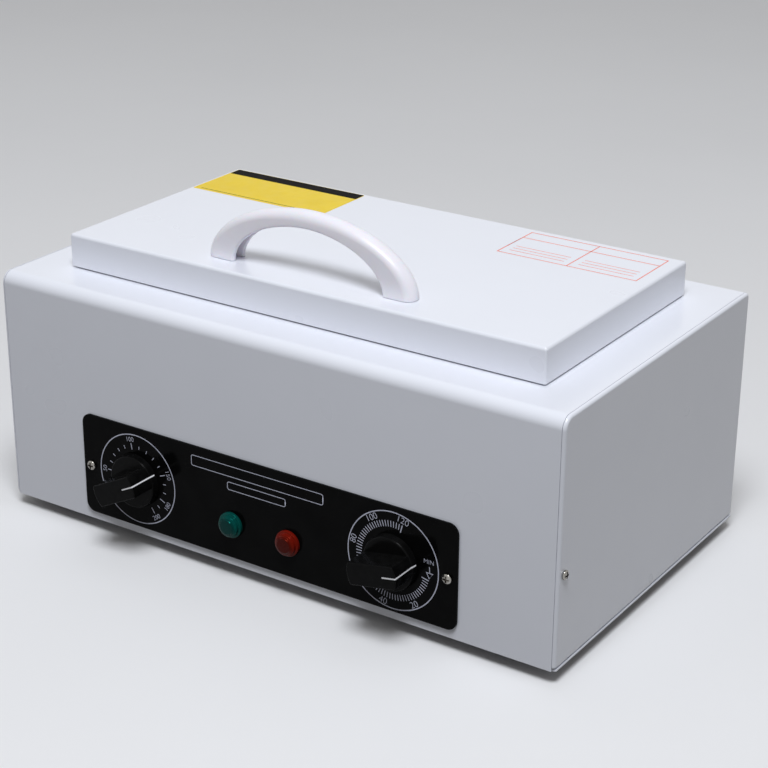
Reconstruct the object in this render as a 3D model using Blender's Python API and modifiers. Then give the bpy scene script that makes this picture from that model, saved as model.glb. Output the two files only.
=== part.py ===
"""Bench dry heat sterilizer: a steel cabinet with a rear hinged lid over a heated chamber.

Metres, +Z up, +X to the operator's right, +Y to the back. The origin is under the middle of
the whole instrument, on the surface that it stands on.
"""
import math

import bmesh
import bpy
from mathutils import Matrix, Vector

MM = 0.001
SMOOTH_ANGLE = math.radians(35)
QUARTER = math.pi / 2
FULL_TURN = 2 * math.pi
X_AXIS = Vector((1, 0, 0))
Y_AXIS = Vector((0, 1, 0))
Z_AXIS = Vector((0, 0, 1))

# Fineness of the round shapes, and the distance at which points count as one
weld = 0.001 * MM
fine_steps = 5
corner_steps = 4
roll_steps = 3
coarse_steps = 2
knob_sides = 32
shaft_sides = 20
hole_sides = 16
small_sides = 12
screw_sides = 10
bevel_profile = 0.5

# Cabinet
cabinet_width = 370 * MM
cabinet_depth = 214 * MM
cabinet_height = 141 * MM
sheet = 1.0 * MM
front_bend = 7.0 * MM
rear_bend = 3.0 * MM
inner_bend = 1.6 * MM
bottom_flange = 13 * MM
base_wall = 1.2 * MM
side_roll = 2.4 * MM
side_flange = 3.4 * MM
seat_gap = 0.3 * MM
run_gap = 0.3 * MM
overrun = 2.0 * MM

# Feet and their screws
foot_height = 7.5 * MM
foot_top_radius = 9.5 * MM
foot_bottom_radius = 8.5 * MM
foot_inset_x = 24 * MM
foot_inset_y = 22 * MM
foot_recess = 3.6 * MM
foot_screw_radius = 2.0 * MM
foot_screw_head = 3.7 * MM
foot_screw_head_height = 2.2 * MM
foot_screw_end = 4.0 * MM

# Chamber, its insulation and its heater
chamber_room_side = 50 * MM
chamber_room_front = 45.2 * MM
chamber_room_rear = 41.8 * MM
chamber_length = cabinet_width - 2 * chamber_room_side
chamber_width = cabinet_depth - chamber_room_front - chamber_room_rear
chamber_centre = chamber_room_front + chamber_width / 2
chamber_depth = 62 * MM
chamber_corner = 14 * MM
chamber_floor_round = 8 * MM
tub_wall = 0.8 * MM
tub_rim = 11 * MM
heater_radius = 3.2 * MM
heater_legs = 4
heater_inset = 18.5 * MM
heater_pitch = (chamber_width - 2 * heater_inset) / (heater_legs - 1)
heater_bend_inset = 20 * MM
heater_tail_beyond = 28 * MM
heater_reach = chamber_length / 2 - heater_bend_inset
heater_tail = chamber_length / 2 + heater_tail_beyond
heater_bend_steps = 6
strap_beyond = 6.4 * MM
strap_wall = 0.8 * MM
strap_width = 12 * MM
strap_offset = 78 * MM
wool_wall = 10 * MM
shield_wall = 0.6 * MM
shield_rim = 8 * MM
shield_corner = 13 * MM

# Lid
lid_beyond_side = 22 * MM
lid_beyond_edge = 16 * MM
lid_length = chamber_length + 2 * lid_beyond_side
lid_width = chamber_width + 2 * lid_beyond_edge
lid_height = 20.4 * MM
lid_roll = 1.8 * MM
lid_corner = 2.4 * MM
lid_line = 0.9 * MM
seal_width = 7 * MM
seal_height = 3 * MM
liner_wall = 0.8 * MM
liner_edge = 9 * MM
liner_roll = 1.5 * MM
lid_wool_height = 9 * MM
lid_wool_inset = 3 * MM

# Handle
handle_length = 136 * MM
handle_height = 37 * MM
handle_depth = 12 * MM
handle_span = 99 * MM
handle_clear = 28 * MM
handle_round = 3.4 * MM
handle_outer_wall = 9.5 * MM
handle_groove_span = handle_length - 2 * handle_outer_wall
handle_groove_height = 33 * MM
handle_groove_width = 6.4 * MM
handle_front = 43.3 * MM
handle_screw_radius = 2.0 * MM
handle_screw_head = 3.6 * MM
handle_screw_head_height = 2.0 * MM
handle_screw_length = 7 * MM
handle_screw_inset = 5.6 * MM
arch_roundness = 1.92
arch_steps = 26
arch_inner_steps = 16

# Hinges
hinge_length = 40 * MM
hinge_inset = 59 * MM
hinge_offset = lid_length / 2 - hinge_inset
hinge_knuckle = 3.0 * MM
hinge_pin = 1.2 * MM
hinge_pin_head = 2.1 * MM
hinge_pin_head_height = 0.9 * MM
hinge_wall = 1.2 * MM
hinge_leaf_height = 12 * MM
hinge_leaf_depth = 13 * MM
hinge_middle = 15 * MM
hinge_leaf_low = 2.91 * MM
hinge_pin_head_flat = 1.26 * MM
hinge_sides = 18

# Control panel
panel_width = 254 * MM
panel_height = 62 * MM
panel_wall = 1.2 * MM
panel_corner = 6 * MM
panel_bottom = 5.5 * MM
panel_screw_inset = 5.8 * MM
panel_screw_offset = panel_width / 2 - panel_screw_inset
panel_screw_radius = 1.5 * MM
panel_screw_head = 2.9 * MM
panel_screw_head_height = 1.9 * MM
panel_screw_end = 5 * MM
dial_inset = 39.8 * MM
dial_offset = panel_width / 2 - dial_inset
dial_height = 35.7 * MM

# Knobs and shafts
knob_stand_off = 0.8 * MM
knob_radius = 16.2 * MM
knob_skirt = 4.6 * MM
knob_taper = 0.6 * MM
knob_edge = 1.0 * MM
knob_grip = 15.4 * MM
knob_grip_radius = 15.4 * MM
knob_grip_width = 12.8 * MM
knob_grip_round = 0.5 * MM
knob_bore_depth = 12 * MM
shaft_radius = 3.0 * MM
shaft_inner = 8 * MM
shaft_fit = 0.2 * MM
neck_radius = 5.0 * MM
neck_short = 0.2 * MM
temperature_pointer = 26.5
timer_pointer = 10.5

# Thermostat, timer and their parts
thermostat_size = 34 * MM
thermostat_depth = 22 * MM
timer_size = 44 * MM
timer_depth = 38 * MM
control_edge = 1.5 * MM
bulb_radius = 3.0 * MM
bulb_length = 80 * MM
bulb_start = 40 * MM
capillary_radius = 0.9 * MM
capillary_gap = 0.5 * MM
capillary_beyond = 20 * MM
capillary_exit = chamber_length / 2 + capillary_beyond
capillary_bend = 10 * MM
capillary_lead = 20 * MM

# Pilot lamps
lamp_offset = 19.5 * MM
lamp_height = 26.5 * MM
lamp_radius = 7.6 * MM
lamp_step = 6.4 * MM
lamp_step_height = 2.2 * MM
lamp_shoulder_height = 3.9 * MM
lamp_dome_height = 5.2 * MM
lamp_dome_edge = 4.55 * MM
lamp_dome_radius = 4.6 * MM
lamp_crown_height = 5.05 * MM
lamp_crown_radius = 2.75 * MM
lamp_flange_edge = 1.75 * MM
lamp_sides = 18
lamp_barrel = 4.8 * MM
lamp_tip = 3.4 * MM
lamp_tip_length = 2.6 * MM
lamp_length = 26 * MM

# Power inlet and wiring
inlet_inset = 67 * MM
inlet_offset = cabinet_width / 2 - inlet_inset
inlet_height = 34 * MM
inlet_flange_width = 48 * MM
inlet_flange_height = 24 * MM
inlet_flange_wall = 2.6 * MM
inlet_flange_corner = 7 * MM
inlet_body_width = 27 * MM
inlet_body_height = 20 * MM
inlet_body_depth = 21 * MM
inlet_body_corner = 2.5 * MM
inlet_recess_width = 24 * MM
inlet_recess_height = 16.4 * MM
inlet_recess_depth = 17 * MM
inlet_recess_corner = 3 * MM
inlet_screw_pitch = 40 * MM
inlet_screw_radius = 1.5 * MM
inlet_screw_head = 2.8 * MM
inlet_screw_head_height = 1.6 * MM
inlet_screw_end = 5 * MM
blade_spacing = 7 * MM
blade_rise = 2 * MM
blade_width = 4 * MM
blade_wall = 2 * MM
blade_reach = 13 * MM
blade_tail = 7 * MM
blade_edge = 0.4 * MM
block_length = 34 * MM
block_width = 20 * MM
block_height = 16 * MM
block_edge = 1.5 * MM
block_inset = 73 * MM
block_offset = cabinet_width / 2 - block_inset
block_place = 128 * MM
block_pole_pitch = 8.4 * MM
block_heater_pole = 11.3 * MM
wire_radius = 1.3 * MM
wire_gap = 0.6 * MM
wire_lead = 14 * MM
wire_loop = 4 * MM
cutout_radius = 8 * MM
cutout_height = 6 * MM
cutout_flange = 11 * MM
cutout_flange_wall = 0.8 * MM
cutout_place = 20 * MM

# Screws through the side panels
side_screw_height = 54.5 * MM
side_screw_place = 5.2 * MM
side_screw_radius = 1.5 * MM
side_screw_head = 2.7 * MM
side_screw_head_height = 1.7 * MM
side_screw_end = 4 * MM
tab_wall = 1.2 * MM
tab_depth = 12 * MM
tab_height = 20 * MM
tab_foot = 5 * MM

# Air slots
back_slot_length = 26 * MM
back_slot_height = 3 * MM
back_slot_pitch = 36 * MM
back_slot_rise = 112 * MM
back_slot_row = 9 * MM
base_slot_length = 60 * MM
base_slot_width = 4 * MM
base_slot_pitch = 12 * MM
base_slot_centre = 90 * MM

# Instrument tray
tray_room = 7 * MM
tray_length = chamber_length - 2 * tray_room
tray_width = chamber_width - 2 * tray_room
tray_height = 20 * MM
tray_wall = 0.8 * MM
tray_corner = 12 * MM
tray_floor_round = 5 * MM
tray_rim = 3 * MM
tray_slot_length = 34 * MM
tray_slot_width = 4 * MM
tray_slot_pitch_x = 29 * MM
tray_slot_pitch_y = 46 * MM

# Shares of a size
slot_round_share = 0.98
least_corner_share = 0.25
pan_head_shares = ((0, 1), (0.6, 0.9), (1, 0.3))

# Levels and lines that the pieces share
knob_front = seat_gap + panel_wall + knob_stand_off + knob_skirt + knob_grip
rear_reach = seat_gap + inlet_flange_wall + seat_gap + inlet_screw_head_height
front_y = knob_front - (knob_front + cabinet_depth + rear_reach) / 2
back_y = front_y + cabinet_depth
base_z = foot_height + seat_gap
wrap_z = base_z + base_wall + seat_gap
top_z = base_z + cabinet_height
side_x = cabinet_width / 2
dial_z = base_z + dial_height
panel_y = front_y - seat_gap - panel_wall
chamber_y = front_y + chamber_centre
tub_floor_z = top_z - chamber_depth
heater_z = tub_floor_z - tub_wall - seat_gap - heater_radius
bulb_z = tub_floor_z - tub_wall - seat_gap - bulb_radius
strap_z = heater_z - heater_radius - seat_gap - strap_wall
wool_floor_z = strap_z - seat_gap
shield_z = wool_floor_z - wool_wall - seat_gap - shield_wall
lid_top_z = top_z + lid_height
rim_top_z = top_z + seat_gap + tub_wall
seal_z = rim_top_z + seat_gap
liner_z = seal_z + seal_height + seat_gap
hinge_y = chamber_y + lid_width / 2 + seat_gap + hinge_knuckle
hinge_z = top_z + seat_gap + hinge_knuckle

PAINT = ((0.84, 0.87, 0.93), 0.32, 0.0)
GLOSS_BLACK = ((0.012, 0.012, 0.015), 0.12, 0.0)
STEEL = ((0.62, 0.63, 0.64), 0.3, 1.0)
ZINC = ((0.55, 0.56, 0.57), 0.45, 1.0)
CHROME = ((0.8, 0.8, 0.8), 0.12, 1.0)
RUBBER = ((0.03, 0.03, 0.03), 0.8, 0.0)
WOOL = ((0.75, 0.72, 0.6), 0.95, 0.0)
SILICONE = ((0.75, 0.75, 0.72), 0.6, 0.0)
WHITE_PLASTIC = ((0.86, 0.85, 0.92), 0.35, 0.0)
BLACK_PLASTIC = ((0.02, 0.02, 0.022), 0.35, 0.0)
CERAMIC = ((0.85, 0.82, 0.74), 0.5, 0.0)
GREEN_LENS = ((0.01, 0.16, 0.14), 0.1, 0.0)
RED_LENS = ((0.25, 0.02, 0.01), 0.1, 0.0)
BRASS = ((0.75, 0.6, 0.3), 0.3, 1.0)
WIRE_BROWN = ((0.2, 0.08, 0.03), 0.5, 0.0)
WIRE_BLUE = ((0.03, 0.1, 0.4), 0.5, 0.0)
WIRE_WHITE = ((0.8, 0.8, 0.75), 0.5, 0.0)

parts = bpy.data.collections.new("bench_sterilizer")
cutters = bpy.data.collections.new("cutters")


def start():
    """Empty the scene and hang the two collections in it."""
    for old in list(bpy.data.objects):
        bpy.data.objects.remove(old)
    for group in (parts, cutters):
        bpy.context.scene.collection.children.link(group)


def material(name, finish):
    """A plain Principled material: colour, roughness and metallic value."""
    colour, roughness, metallic = finish
    made = bpy.data.materials.new(name)
    made.use_nodes = True
    shader = made.node_tree.nodes["Principled BSDF"]
    shader.inputs["Base Color"].default_value = (*colour, 1.0)
    shader.inputs["Roughness"].default_value = roughness
    shader.inputs["Metallic"].default_value = metallic
    return made


def add_part(name, mesh, finish, place=(0, 0, 0), parent=None):
    """Put a mesh in the parts collection as a named piece."""
    piece = bpy.data.objects.new(name, mesh)
    piece.data.materials.append(material(name, finish))
    parts.objects.link(piece)
    piece.location = place
    if parent is not None:
        piece.parent = parent
        piece.location = Vector(place) - parent.location
    return piece


def add_cutter(name, mesh):
    """Put a mesh among the hidden cutting shapes."""
    tool = bpy.data.objects.new(name, mesh)
    tool.hide_render = True
    tool.display_type = 'WIRE'
    cutters.objects.link(tool)
    return tool


def axis_empty(name, place):
    """An empty on a joint axis, which carries the pieces that turn about it."""
    empty = bpy.data.objects.new(name, None)
    empty.location = place
    parts.objects.link(empty)
    return empty


def to_mesh(name, shape, smooth=None):
    """Turn a bmesh into a mesh; smooth is the sharp angle for round pieces."""
    mesh = bpy.data.meshes.new(name)
    shape.to_mesh(mesh)
    shape.free()
    if smooth is not None:
        mesh.shade_smooth()
        mesh.set_sharp_from_angle(angle=smooth)
    return mesh


def arc(centre, radius, start, turn, steps):
    """Points of an arc in a plane, both ends included."""
    angles = [start + turn * step / steps for step in range(steps + 1)]
    return [(centre[0] + radius * math.cos(a), centre[1] + radius * math.sin(a)) for a in angles]


def round_rect(width, height, radius, steps=corner_steps, centre=(0, 0)):
    """A rectangle with round corners, counter-clockwise; radius is one value or one a corner."""
    radii = radius if isinstance(radius, (list, tuple)) else [radius] * 4
    signs = ((1, 1), (-1, 1), (-1, -1), (1, -1))
    points = []
    for turn, ((sx, sy), corner) in enumerate(zip(signs, radii)):
        middle = (centre[0] + sx * (width / 2 - corner), centre[1] + sy * (height / 2 - corner))
        points += arc(middle, corner, turn * QUARTER, QUARTER, steps)
    return points


def slot(length, width, centre=(0, 0), steps=coarse_steps):
    """A straight slot with round ends."""
    return round_rect(length, width, min(length, width) / 2 * slot_round_share, steps, centre)


def fillet_path(corners, radii, steps=corner_steps):
    """An open path through corners, with its inner corners rounded."""
    points = [Vector(corners[0])]
    for before, corner, after, radius in zip(corners, corners[1:], corners[2:], radii):
        here = Vector(corner)
        back = (Vector(before) - here).normalized()
        ahead = (Vector(after) - here).normalized()
        half = back.angle(ahead) / 2
        centre = here + (back + ahead).normalized() * radius / math.sin(half)
        first = here + back * radius / math.tan(half) - centre
        last = here + ahead * radius / math.tan(half) - centre
        for step in range(steps + 1):
            share = step / steps
            points.append(centre + (first * (1 - share) + last * share).normalized() * radius)
    points.append(Vector(corners[-1]))
    return points


def flat(points, plane, level):
    """Lift 2D points into space: plane XY, XZ or YZ, at a level on the third axis."""
    if plane == 'XY':
        return [Vector((a, b, level)) for a, b in points]
    if plane == 'XZ':
        return [Vector((a, level, b)) for a, b in points]
    return [Vector((level, a, b)) for a, b in points]


def add_prism(shape, loop, push):
    """Add a closed prism to a bmesh: a loop of points pushed along a vector."""
    face = shape.faces.new([shape.verts.new(point) for point in loop])
    moved = bmesh.ops.extrude_face_region(shape, geom=[face])
    corners = [item for item in moved["geom"] if isinstance(item, bmesh.types.BMVert)]
    bmesh.ops.translate(shape, vec=push, verts=corners)
    bmesh.ops.recalc_face_normals(shape, faces=shape.faces)


def add_cylinder(shape, radius, start, end, sides=small_sides):
    """Add a closed cylinder between two points to a bmesh."""
    start, end = Vector(start), Vector(end)
    turn = (end - start).to_track_quat('Z', 'Y').to_matrix().to_4x4()
    bmesh.ops.create_cone(shape, cap_ends=True, segments=sides, radius1=radius, radius2=radius,
                          depth=(end - start).length,
                          matrix=Matrix.Translation((start + end) / 2) @ turn)


def prism(name, loop, push, smooth=None):
    """A mesh of one prism."""
    shape = bmesh.new()
    add_prism(shape, loop, push)
    return to_mesh(name, shape, smooth)


def cylinder(name, radius, start, end, sides=small_sides):
    """A mesh of one cylinder."""
    shape = bmesh.new()
    add_cylinder(shape, radius, start, end, sides)
    return to_mesh(name, shape, SMOOTH_ANGLE)


def box_mesh(name, size, place=(0, 0, 0)):
    """A mesh of one box, centred on its place."""
    shape = bmesh.new()
    bmesh.ops.create_cube(shape, size=1, matrix=Matrix.Translation(place) @ Matrix.Diagonal((*size, 1)))
    return to_mesh(name, shape)


def plate(name, outer, holes, thickness, turn=None, place=(0, 0, 0)):
    """A flat plate with holes, from a filled 2D curve; its middle plane is at place."""
    curve = bpy.data.curves.new(name, 'CURVE')
    curve.dimensions = '2D'
    curve.fill_mode = 'BOTH'
    curve.extrude = thickness / 2
    for loop in [outer] + holes:
        spline = curve.splines.new('POLY')
        spline.points.add(len(loop) - 1)
        for point, (a, b) in zip(spline.points, loop):
            point.co = (a, b, 0, 1)
        spline.use_cyclic_u = True
    matrix = Matrix.Translation(place) @ (turn.to_4x4() if turn is not None else Matrix.Identity(4))
    return curve_mesh(name, curve, matrix)


def curve_mesh(name, curve, matrix=None):
    """The welded mesh of a curve, whose guide object is removed again."""
    guide = bpy.data.objects.new(name + "_guide", curve)
    bpy.context.scene.collection.objects.link(guide)
    bpy.context.view_layer.update()
    evaluated = guide.evaluated_get(bpy.context.evaluated_depsgraph_get())
    made = bpy.data.meshes.new_from_object(evaluated)
    bpy.data.objects.remove(guide)
    shape = bmesh.new()
    shape.from_mesh(made)
    bpy.data.meshes.remove(made)
    bmesh.ops.remove_doubles(shape, verts=shape.verts, dist=weld)
    if matrix is not None:
        bmesh.ops.transform(shape, matrix=matrix, verts=shape.verts)
    bmesh.ops.recalc_face_normals(shape, faces=shape.faces)
    return to_mesh(name, shape, SMOOTH_ANGLE)


def rod(name, points, radius, resolution=coarse_steps):
    """A round rod or wire along points, with closed ends."""
    curve = bpy.data.curves.new(name, 'CURVE')
    curve.dimensions = '3D'
    curve.bevel_depth = radius
    curve.bevel_resolution = resolution
    curve.use_fill_caps = True
    spline = curve.splines.new('POLY')
    spline.points.add(len(points) - 1)
    for point, place in zip(spline.points, points):
        point.co = (*place, 1)
    return curve_mesh(name, curve)


def smooth_route(corners, steps=roll_steps):
    """Points of a smooth curve through a few corners."""
    ends = [corners[0]] + list(corners) + [corners[-1]]
    places = [Vector(corner) for corner in ends]
    points = []
    for a, b, c, d in zip(places, places[1:], places[2:], places[3:]):
        for step in range(steps):
            t = step / steps
            points.append(0.5 * (2 * b + (c - a) * t + (2 * a - 5 * b + 4 * c - d) * t ** 2
                                 + (3 * b - a - 3 * c + d) * t ** 3))
    points.append(places[-1])
    return points


def loft(name, loops, outward, smooth=SMOOTH_ANGLE):
    """An open pan: the first loop is closed by a face that looks along outward."""
    shape = bmesh.new()
    rings = [[shape.verts.new(point) for point in loop] for loop in loops]
    floor = shape.faces.new(rings[0])
    for lower, upper in zip(rings, rings[1:]):
        for a, b, c, d in zip(lower, lower[1:] + lower[:1], upper[1:] + upper[:1], upper):
            shape.faces.new((a, b, c, d))
    bmesh.ops.recalc_face_normals(shape, faces=shape.faces)
    floor.normal_update()
    if floor.normal.dot(outward) < 0:
        bmesh.ops.reverse_faces(shape, faces=shape.faces)
    return to_mesh(name, shape, smooth)


def rolled(outline, radius, depth, steps=roll_steps):
    """Loops from a flat face, round its edge and down a wall of the given depth."""
    loops = []
    for step in range(steps + 1):
        turn = QUARTER * step / steps
        loops.append(outline(radius * (1 - math.sin(turn)), radius * (1 - math.cos(turn))))
    loops.append(outline(0, depth))
    return loops


def thicken(piece, wall):
    """Give an open surface its sheet thickness, on the inner side."""
    solid = piece.modifiers.new("wall", 'SOLIDIFY')
    solid.thickness = wall
    solid.offset = -1
    solid.use_even_offset = True


def soften(piece, width, segments=2):
    """Round the sharp edges of a piece."""
    bevel = piece.modifiers.new("edges", 'BEVEL')
    bevel.width = width
    bevel.segments = segments
    bevel.limit_method = 'ANGLE'
    bevel.angle_limit = SMOOTH_ANGLE


def boolean(piece, tool, operation):
    """Cut a piece with a tool, or join the tool to it."""
    cut = piece.modifiers.new(tool.name, 'BOOLEAN')
    cut.operation = operation
    cut.solver = 'EXACT'
    cut.object = tool


def subtract(piece, mesh):
    """Cut a piece with a mesh that is written in the world."""
    boolean(piece, add_cutter(mesh.name, mesh), 'DIFFERENCE')


def join(piece, mesh):
    """Join a mesh that is written in the world to a piece."""
    boolean(piece, add_cutter(mesh.name, mesh), 'UNION')


def turned(name, profile, finish, place, towards, steps, closed=False, parent=None):
    """A turned piece: (radius, height) points down its outer side, about an axis through place."""
    shape = bmesh.new()
    verts = [shape.verts.new((radius, 0, height)) for radius, height in profile]
    pairs = list(zip(verts, verts[1:]))
    if closed:
        pairs.append((verts[-1], verts[0]))
    for a, b in pairs:
        shape.edges.new((a, b))
    piece = add_part(name, to_mesh(name, shape), finish, place, parent)
    piece.rotation_euler = Vector(towards).to_track_quat('Z', 'Y').to_euler()
    screw = piece.modifiers.new("turn", 'SCREW')
    screw.steps = steps
    screw.render_steps = steps
    screw.use_merge_vertices = True
    screw.merge_threshold = weld
    screw.use_smooth_shade = True
    return piece


def pan_screw(name, head, height, shank, length, place, towards, finish=CHROME, parent=None):
    """A pan head screw: place is under its head, towards looks out of the head."""
    profile = [(head * out, height * up) for out, up in pan_head_shares]
    profile += [(head, 0), (shank, 0), (shank, -length), (0, -length)]
    return turned(name, profile, finish, place, towards, screw_sides, parent=parent)


def rect_bounds(width, depth, centre_y, corner, plane_z):
    """An outline function for pans that lie flat: inset and lift give the loop."""
    def outline(inset, lift):
        bend = max(corner - inset, corner * least_corner_share)
        loop = round_rect(width - 2 * inset, depth - 2 * inset, bend, corner_steps, (0, centre_y))
        return flat(loop, 'XY', plane_z(lift))
    return outline


def make_base():
    """Base plate with air slots, four rubber feet and their screws."""
    spots = foot_spots()
    holes = [arc(spot, foot_screw_radius + run_gap, 0, FULL_TURN, small_sides)[:-1] for spot in spots]
    for side in (-1, 1):
        for row in range(-2, 3):
            centre = (side * base_slot_centre, front_y + cabinet_depth / 2 + row * base_slot_pitch)
            holes.append(slot(base_slot_length, base_slot_width, centre))
    middle = (0, front_y + cabinet_depth / 2)
    outer = round_rect(cabinet_width, cabinet_depth, side_roll, roll_steps, middle)
    mesh = plate("base_plate", outer, holes, base_wall, place=(0, 0, base_z + base_wall / 2))
    add_part("base_plate", mesh, PAINT)
    for (x, y), where in zip(spots, ("front_left", "front_right", "rear_left", "rear_right")):
        bore = foot_screw_radius + run_gap
        recess = foot_screw_head + 2 * run_gap
        profile = [(bore, foot_height), (foot_top_radius, foot_height), (foot_bottom_radius, 0),
                   (recess, 0), (recess, foot_recess), (bore, foot_recess)]
        turned("foot_" + where, profile, RUBBER, (x, y, 0), Z_AXIS, hole_sides, closed=True)
        under = foot_recess - seat_gap
        length = base_z + base_wall + foot_screw_end - under
        pan_screw("foot_screw_" + where, foot_screw_head, foot_screw_head_height,
                  foot_screw_radius, length, (x, y, under), -Z_AXIS, ZINC)


def foot_spots():
    """Where the four feet stand: left before right, front before rear."""
    x = side_x - foot_inset_x
    return [(sx * x, y) for y in (front_y + foot_inset_y, back_y - foot_inset_y) for sx in (-1, 1)]


def make_wrap():
    """One folded sheet: front, top and back, with bottom flanges and two screw tabs."""
    corners = [(front_y + bottom_flange, wrap_z), (front_y, wrap_z), (front_y, top_z),
               (back_y, top_z), (back_y, wrap_z), (back_y - bottom_flange, wrap_z)]
    path = fillet_path(corners, [inner_bend, front_bend, rear_bend, inner_bend])
    half = side_x - side_flange - seat_gap
    shape = bmesh.new()
    verts = [shape.verts.new((-half, y, z)) for y, z in path]
    edges = [shape.edges.new(pair) for pair in zip(verts, verts[1:])]
    swept = bmesh.ops.extrude_edge_only(shape, edges=edges)
    far = [item for item in swept["geom"] if isinstance(item, bmesh.types.BMVert)]
    bmesh.ops.translate(shape, vec=2 * half * X_AXIS, verts=far)
    bmesh.ops.recalc_face_normals(shape, faces=shape.faces)
    topmost = max(shape.faces, key=lambda face: face.calc_center_median().z)
    if topmost.normal.z < 0:
        bmesh.ops.reverse_faces(shape, faces=shape.faces)
    wrap = add_part("wrap_cover", to_mesh("wrap_cover", shape, SMOOTH_ANGLE), PAINT)
    thicken(wrap, sheet)
    join(wrap, tab_mesh())
    subtract(wrap, wrap_holes(half))


def tab_mesh():
    """Two angle tabs behind the front sheet, which the side screws bite into."""
    shape = bmesh.new()
    outer = side_x - sheet - seat_gap
    edge = side_x - side_flange - 2 * seat_gap
    foot = edge - tab_foot
    near, seat = front_y + sheet / 2, front_y + sheet + seat_gap
    corners = [(foot, near), (edge, near), (edge, seat), (outer - side_roll / 2, seat),
               (outer, seat + side_roll / 2), (outer, seat + tab_depth),
               (outer - tab_wall, seat + tab_depth), (outer - tab_wall, seat + tab_wall),
               (foot, seat + tab_wall)]
    low = base_z + side_screw_height - tab_height / 2
    for side in (-1, 1):
        loop = [(side * x, y) for x, y in corners]
        add_prism(shape, flat(loop, 'XY', low), tab_height * Z_AXIS)
    return to_mesh("screw_tabs", shape)


def wrap_holes(half):
    """Everything that is cut out of the folded sheet."""
    shape = bmesh.new()
    opening = 2 * (tub_wall + run_gap)
    loop = round_rect(chamber_length + opening, chamber_width + opening, chamber_corner,
                      corner_steps, (0, chamber_y))
    add_prism(shape, flat(loop, 'XY', top_z - sheet - overrun), (sheet + 2 * overrun) * Z_AXIS)
    front, behind = front_y - overrun, front_y + sheet + overrun
    for x, z, radius in front_holes():
        add_cylinder(shape, radius, (x, front, z), (x, behind, z), hole_sides)
    inside, outside = back_y - sheet - overrun, back_y + overrun
    loop = round_rect(inlet_body_width + 2 * run_gap, inlet_body_height + 2 * run_gap,
                      inlet_body_corner, roll_steps, (inlet_offset, base_z + inlet_height))
    add_prism(shape, flat(loop, 'XZ', inside), (outside - inside) * Y_AXIS)
    for x, z in inlet_screw_spots():
        add_cylinder(shape, inlet_screw_radius + run_gap, (x, inside, z), (x, outside, z))
    for column in range(-3, 4):
        for row in (0, 1):
            centre = (column * back_slot_pitch, base_z + back_slot_rise - row * back_slot_row)
            loop = slot(back_slot_length, back_slot_height, centre, 1)
            add_prism(shape, flat(loop, 'XZ', inside), (outside - inside) * Y_AXIS)
    for side in (-1, 1):
        y, z = front_y + side_screw_place, base_z + side_screw_height
        add_cylinder(shape, side_screw_radius + run_gap, (side * (half - side_flange), y, z),
                     (side * (side_x + overrun), y, z))
    return to_mesh("wrap_holes", shape)


def front_holes():
    """Holes for the two necks, the two lamps and the two panel screws: x, z and radius."""
    lamp_z = base_z + lamp_height
    holes = []
    for side in (-1, 1):
        holes.append((side * dial_offset, dial_z, neck_radius + run_gap))
        holes.append((side * lamp_offset, lamp_z, lamp_barrel + run_gap))
        holes.append((side * panel_screw_offset, dial_z, panel_screw_radius + run_gap))
    return holes


def inlet_screw_spots():
    """The two screws at the ends of the inlet's flange."""
    z = base_z + inlet_height
    return [(inlet_offset + side * inlet_screw_pitch / 2, z) for side in (-1, 1)]


def make_sides():
    """Two side panels: flat pans with a rolled edge that meets the folded sheet."""
    width = cabinet_depth
    height = top_z - wrap_z
    centre = (front_y + width / 2, wrap_z + height / 2)
    for side, where in ((-1, "left"), (1, "right")):
        def outline(inset, lift, side=side):
            radii = [max(bend - inset, inner_bend * least_corner_share)
                     for bend in (rear_bend, front_bend, inner_bend, inner_bend)]
            loop = round_rect(width - 2 * inset, height - 2 * inset, radii, roll_steps, centre)
            return flat(loop, 'YZ', side * (side_x - lift))
        name = "side_panel_" + where
        mesh = loft(name, rolled(outline, side_roll, side_flange), side * X_AXIS)
        panel = add_part(name, mesh, PAINT)
        thicken(panel, sheet)
        y, z = front_y + side_screw_place, base_z + side_screw_height
        subtract(panel, cylinder(name + "_hole", side_screw_radius + run_gap,
                                 (side * (side_x + overrun), y, z),
                                 (side * (side_x - sheet - overrun), y, z)))
        length = sheet + seat_gap + tab_wall + seat_gap + side_screw_end
        pan_screw("side_screw_" + where, side_screw_head, side_screw_head_height,
                  side_screw_radius, length, (side * (side_x + seat_gap), y, z), side * X_AXIS)


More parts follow.
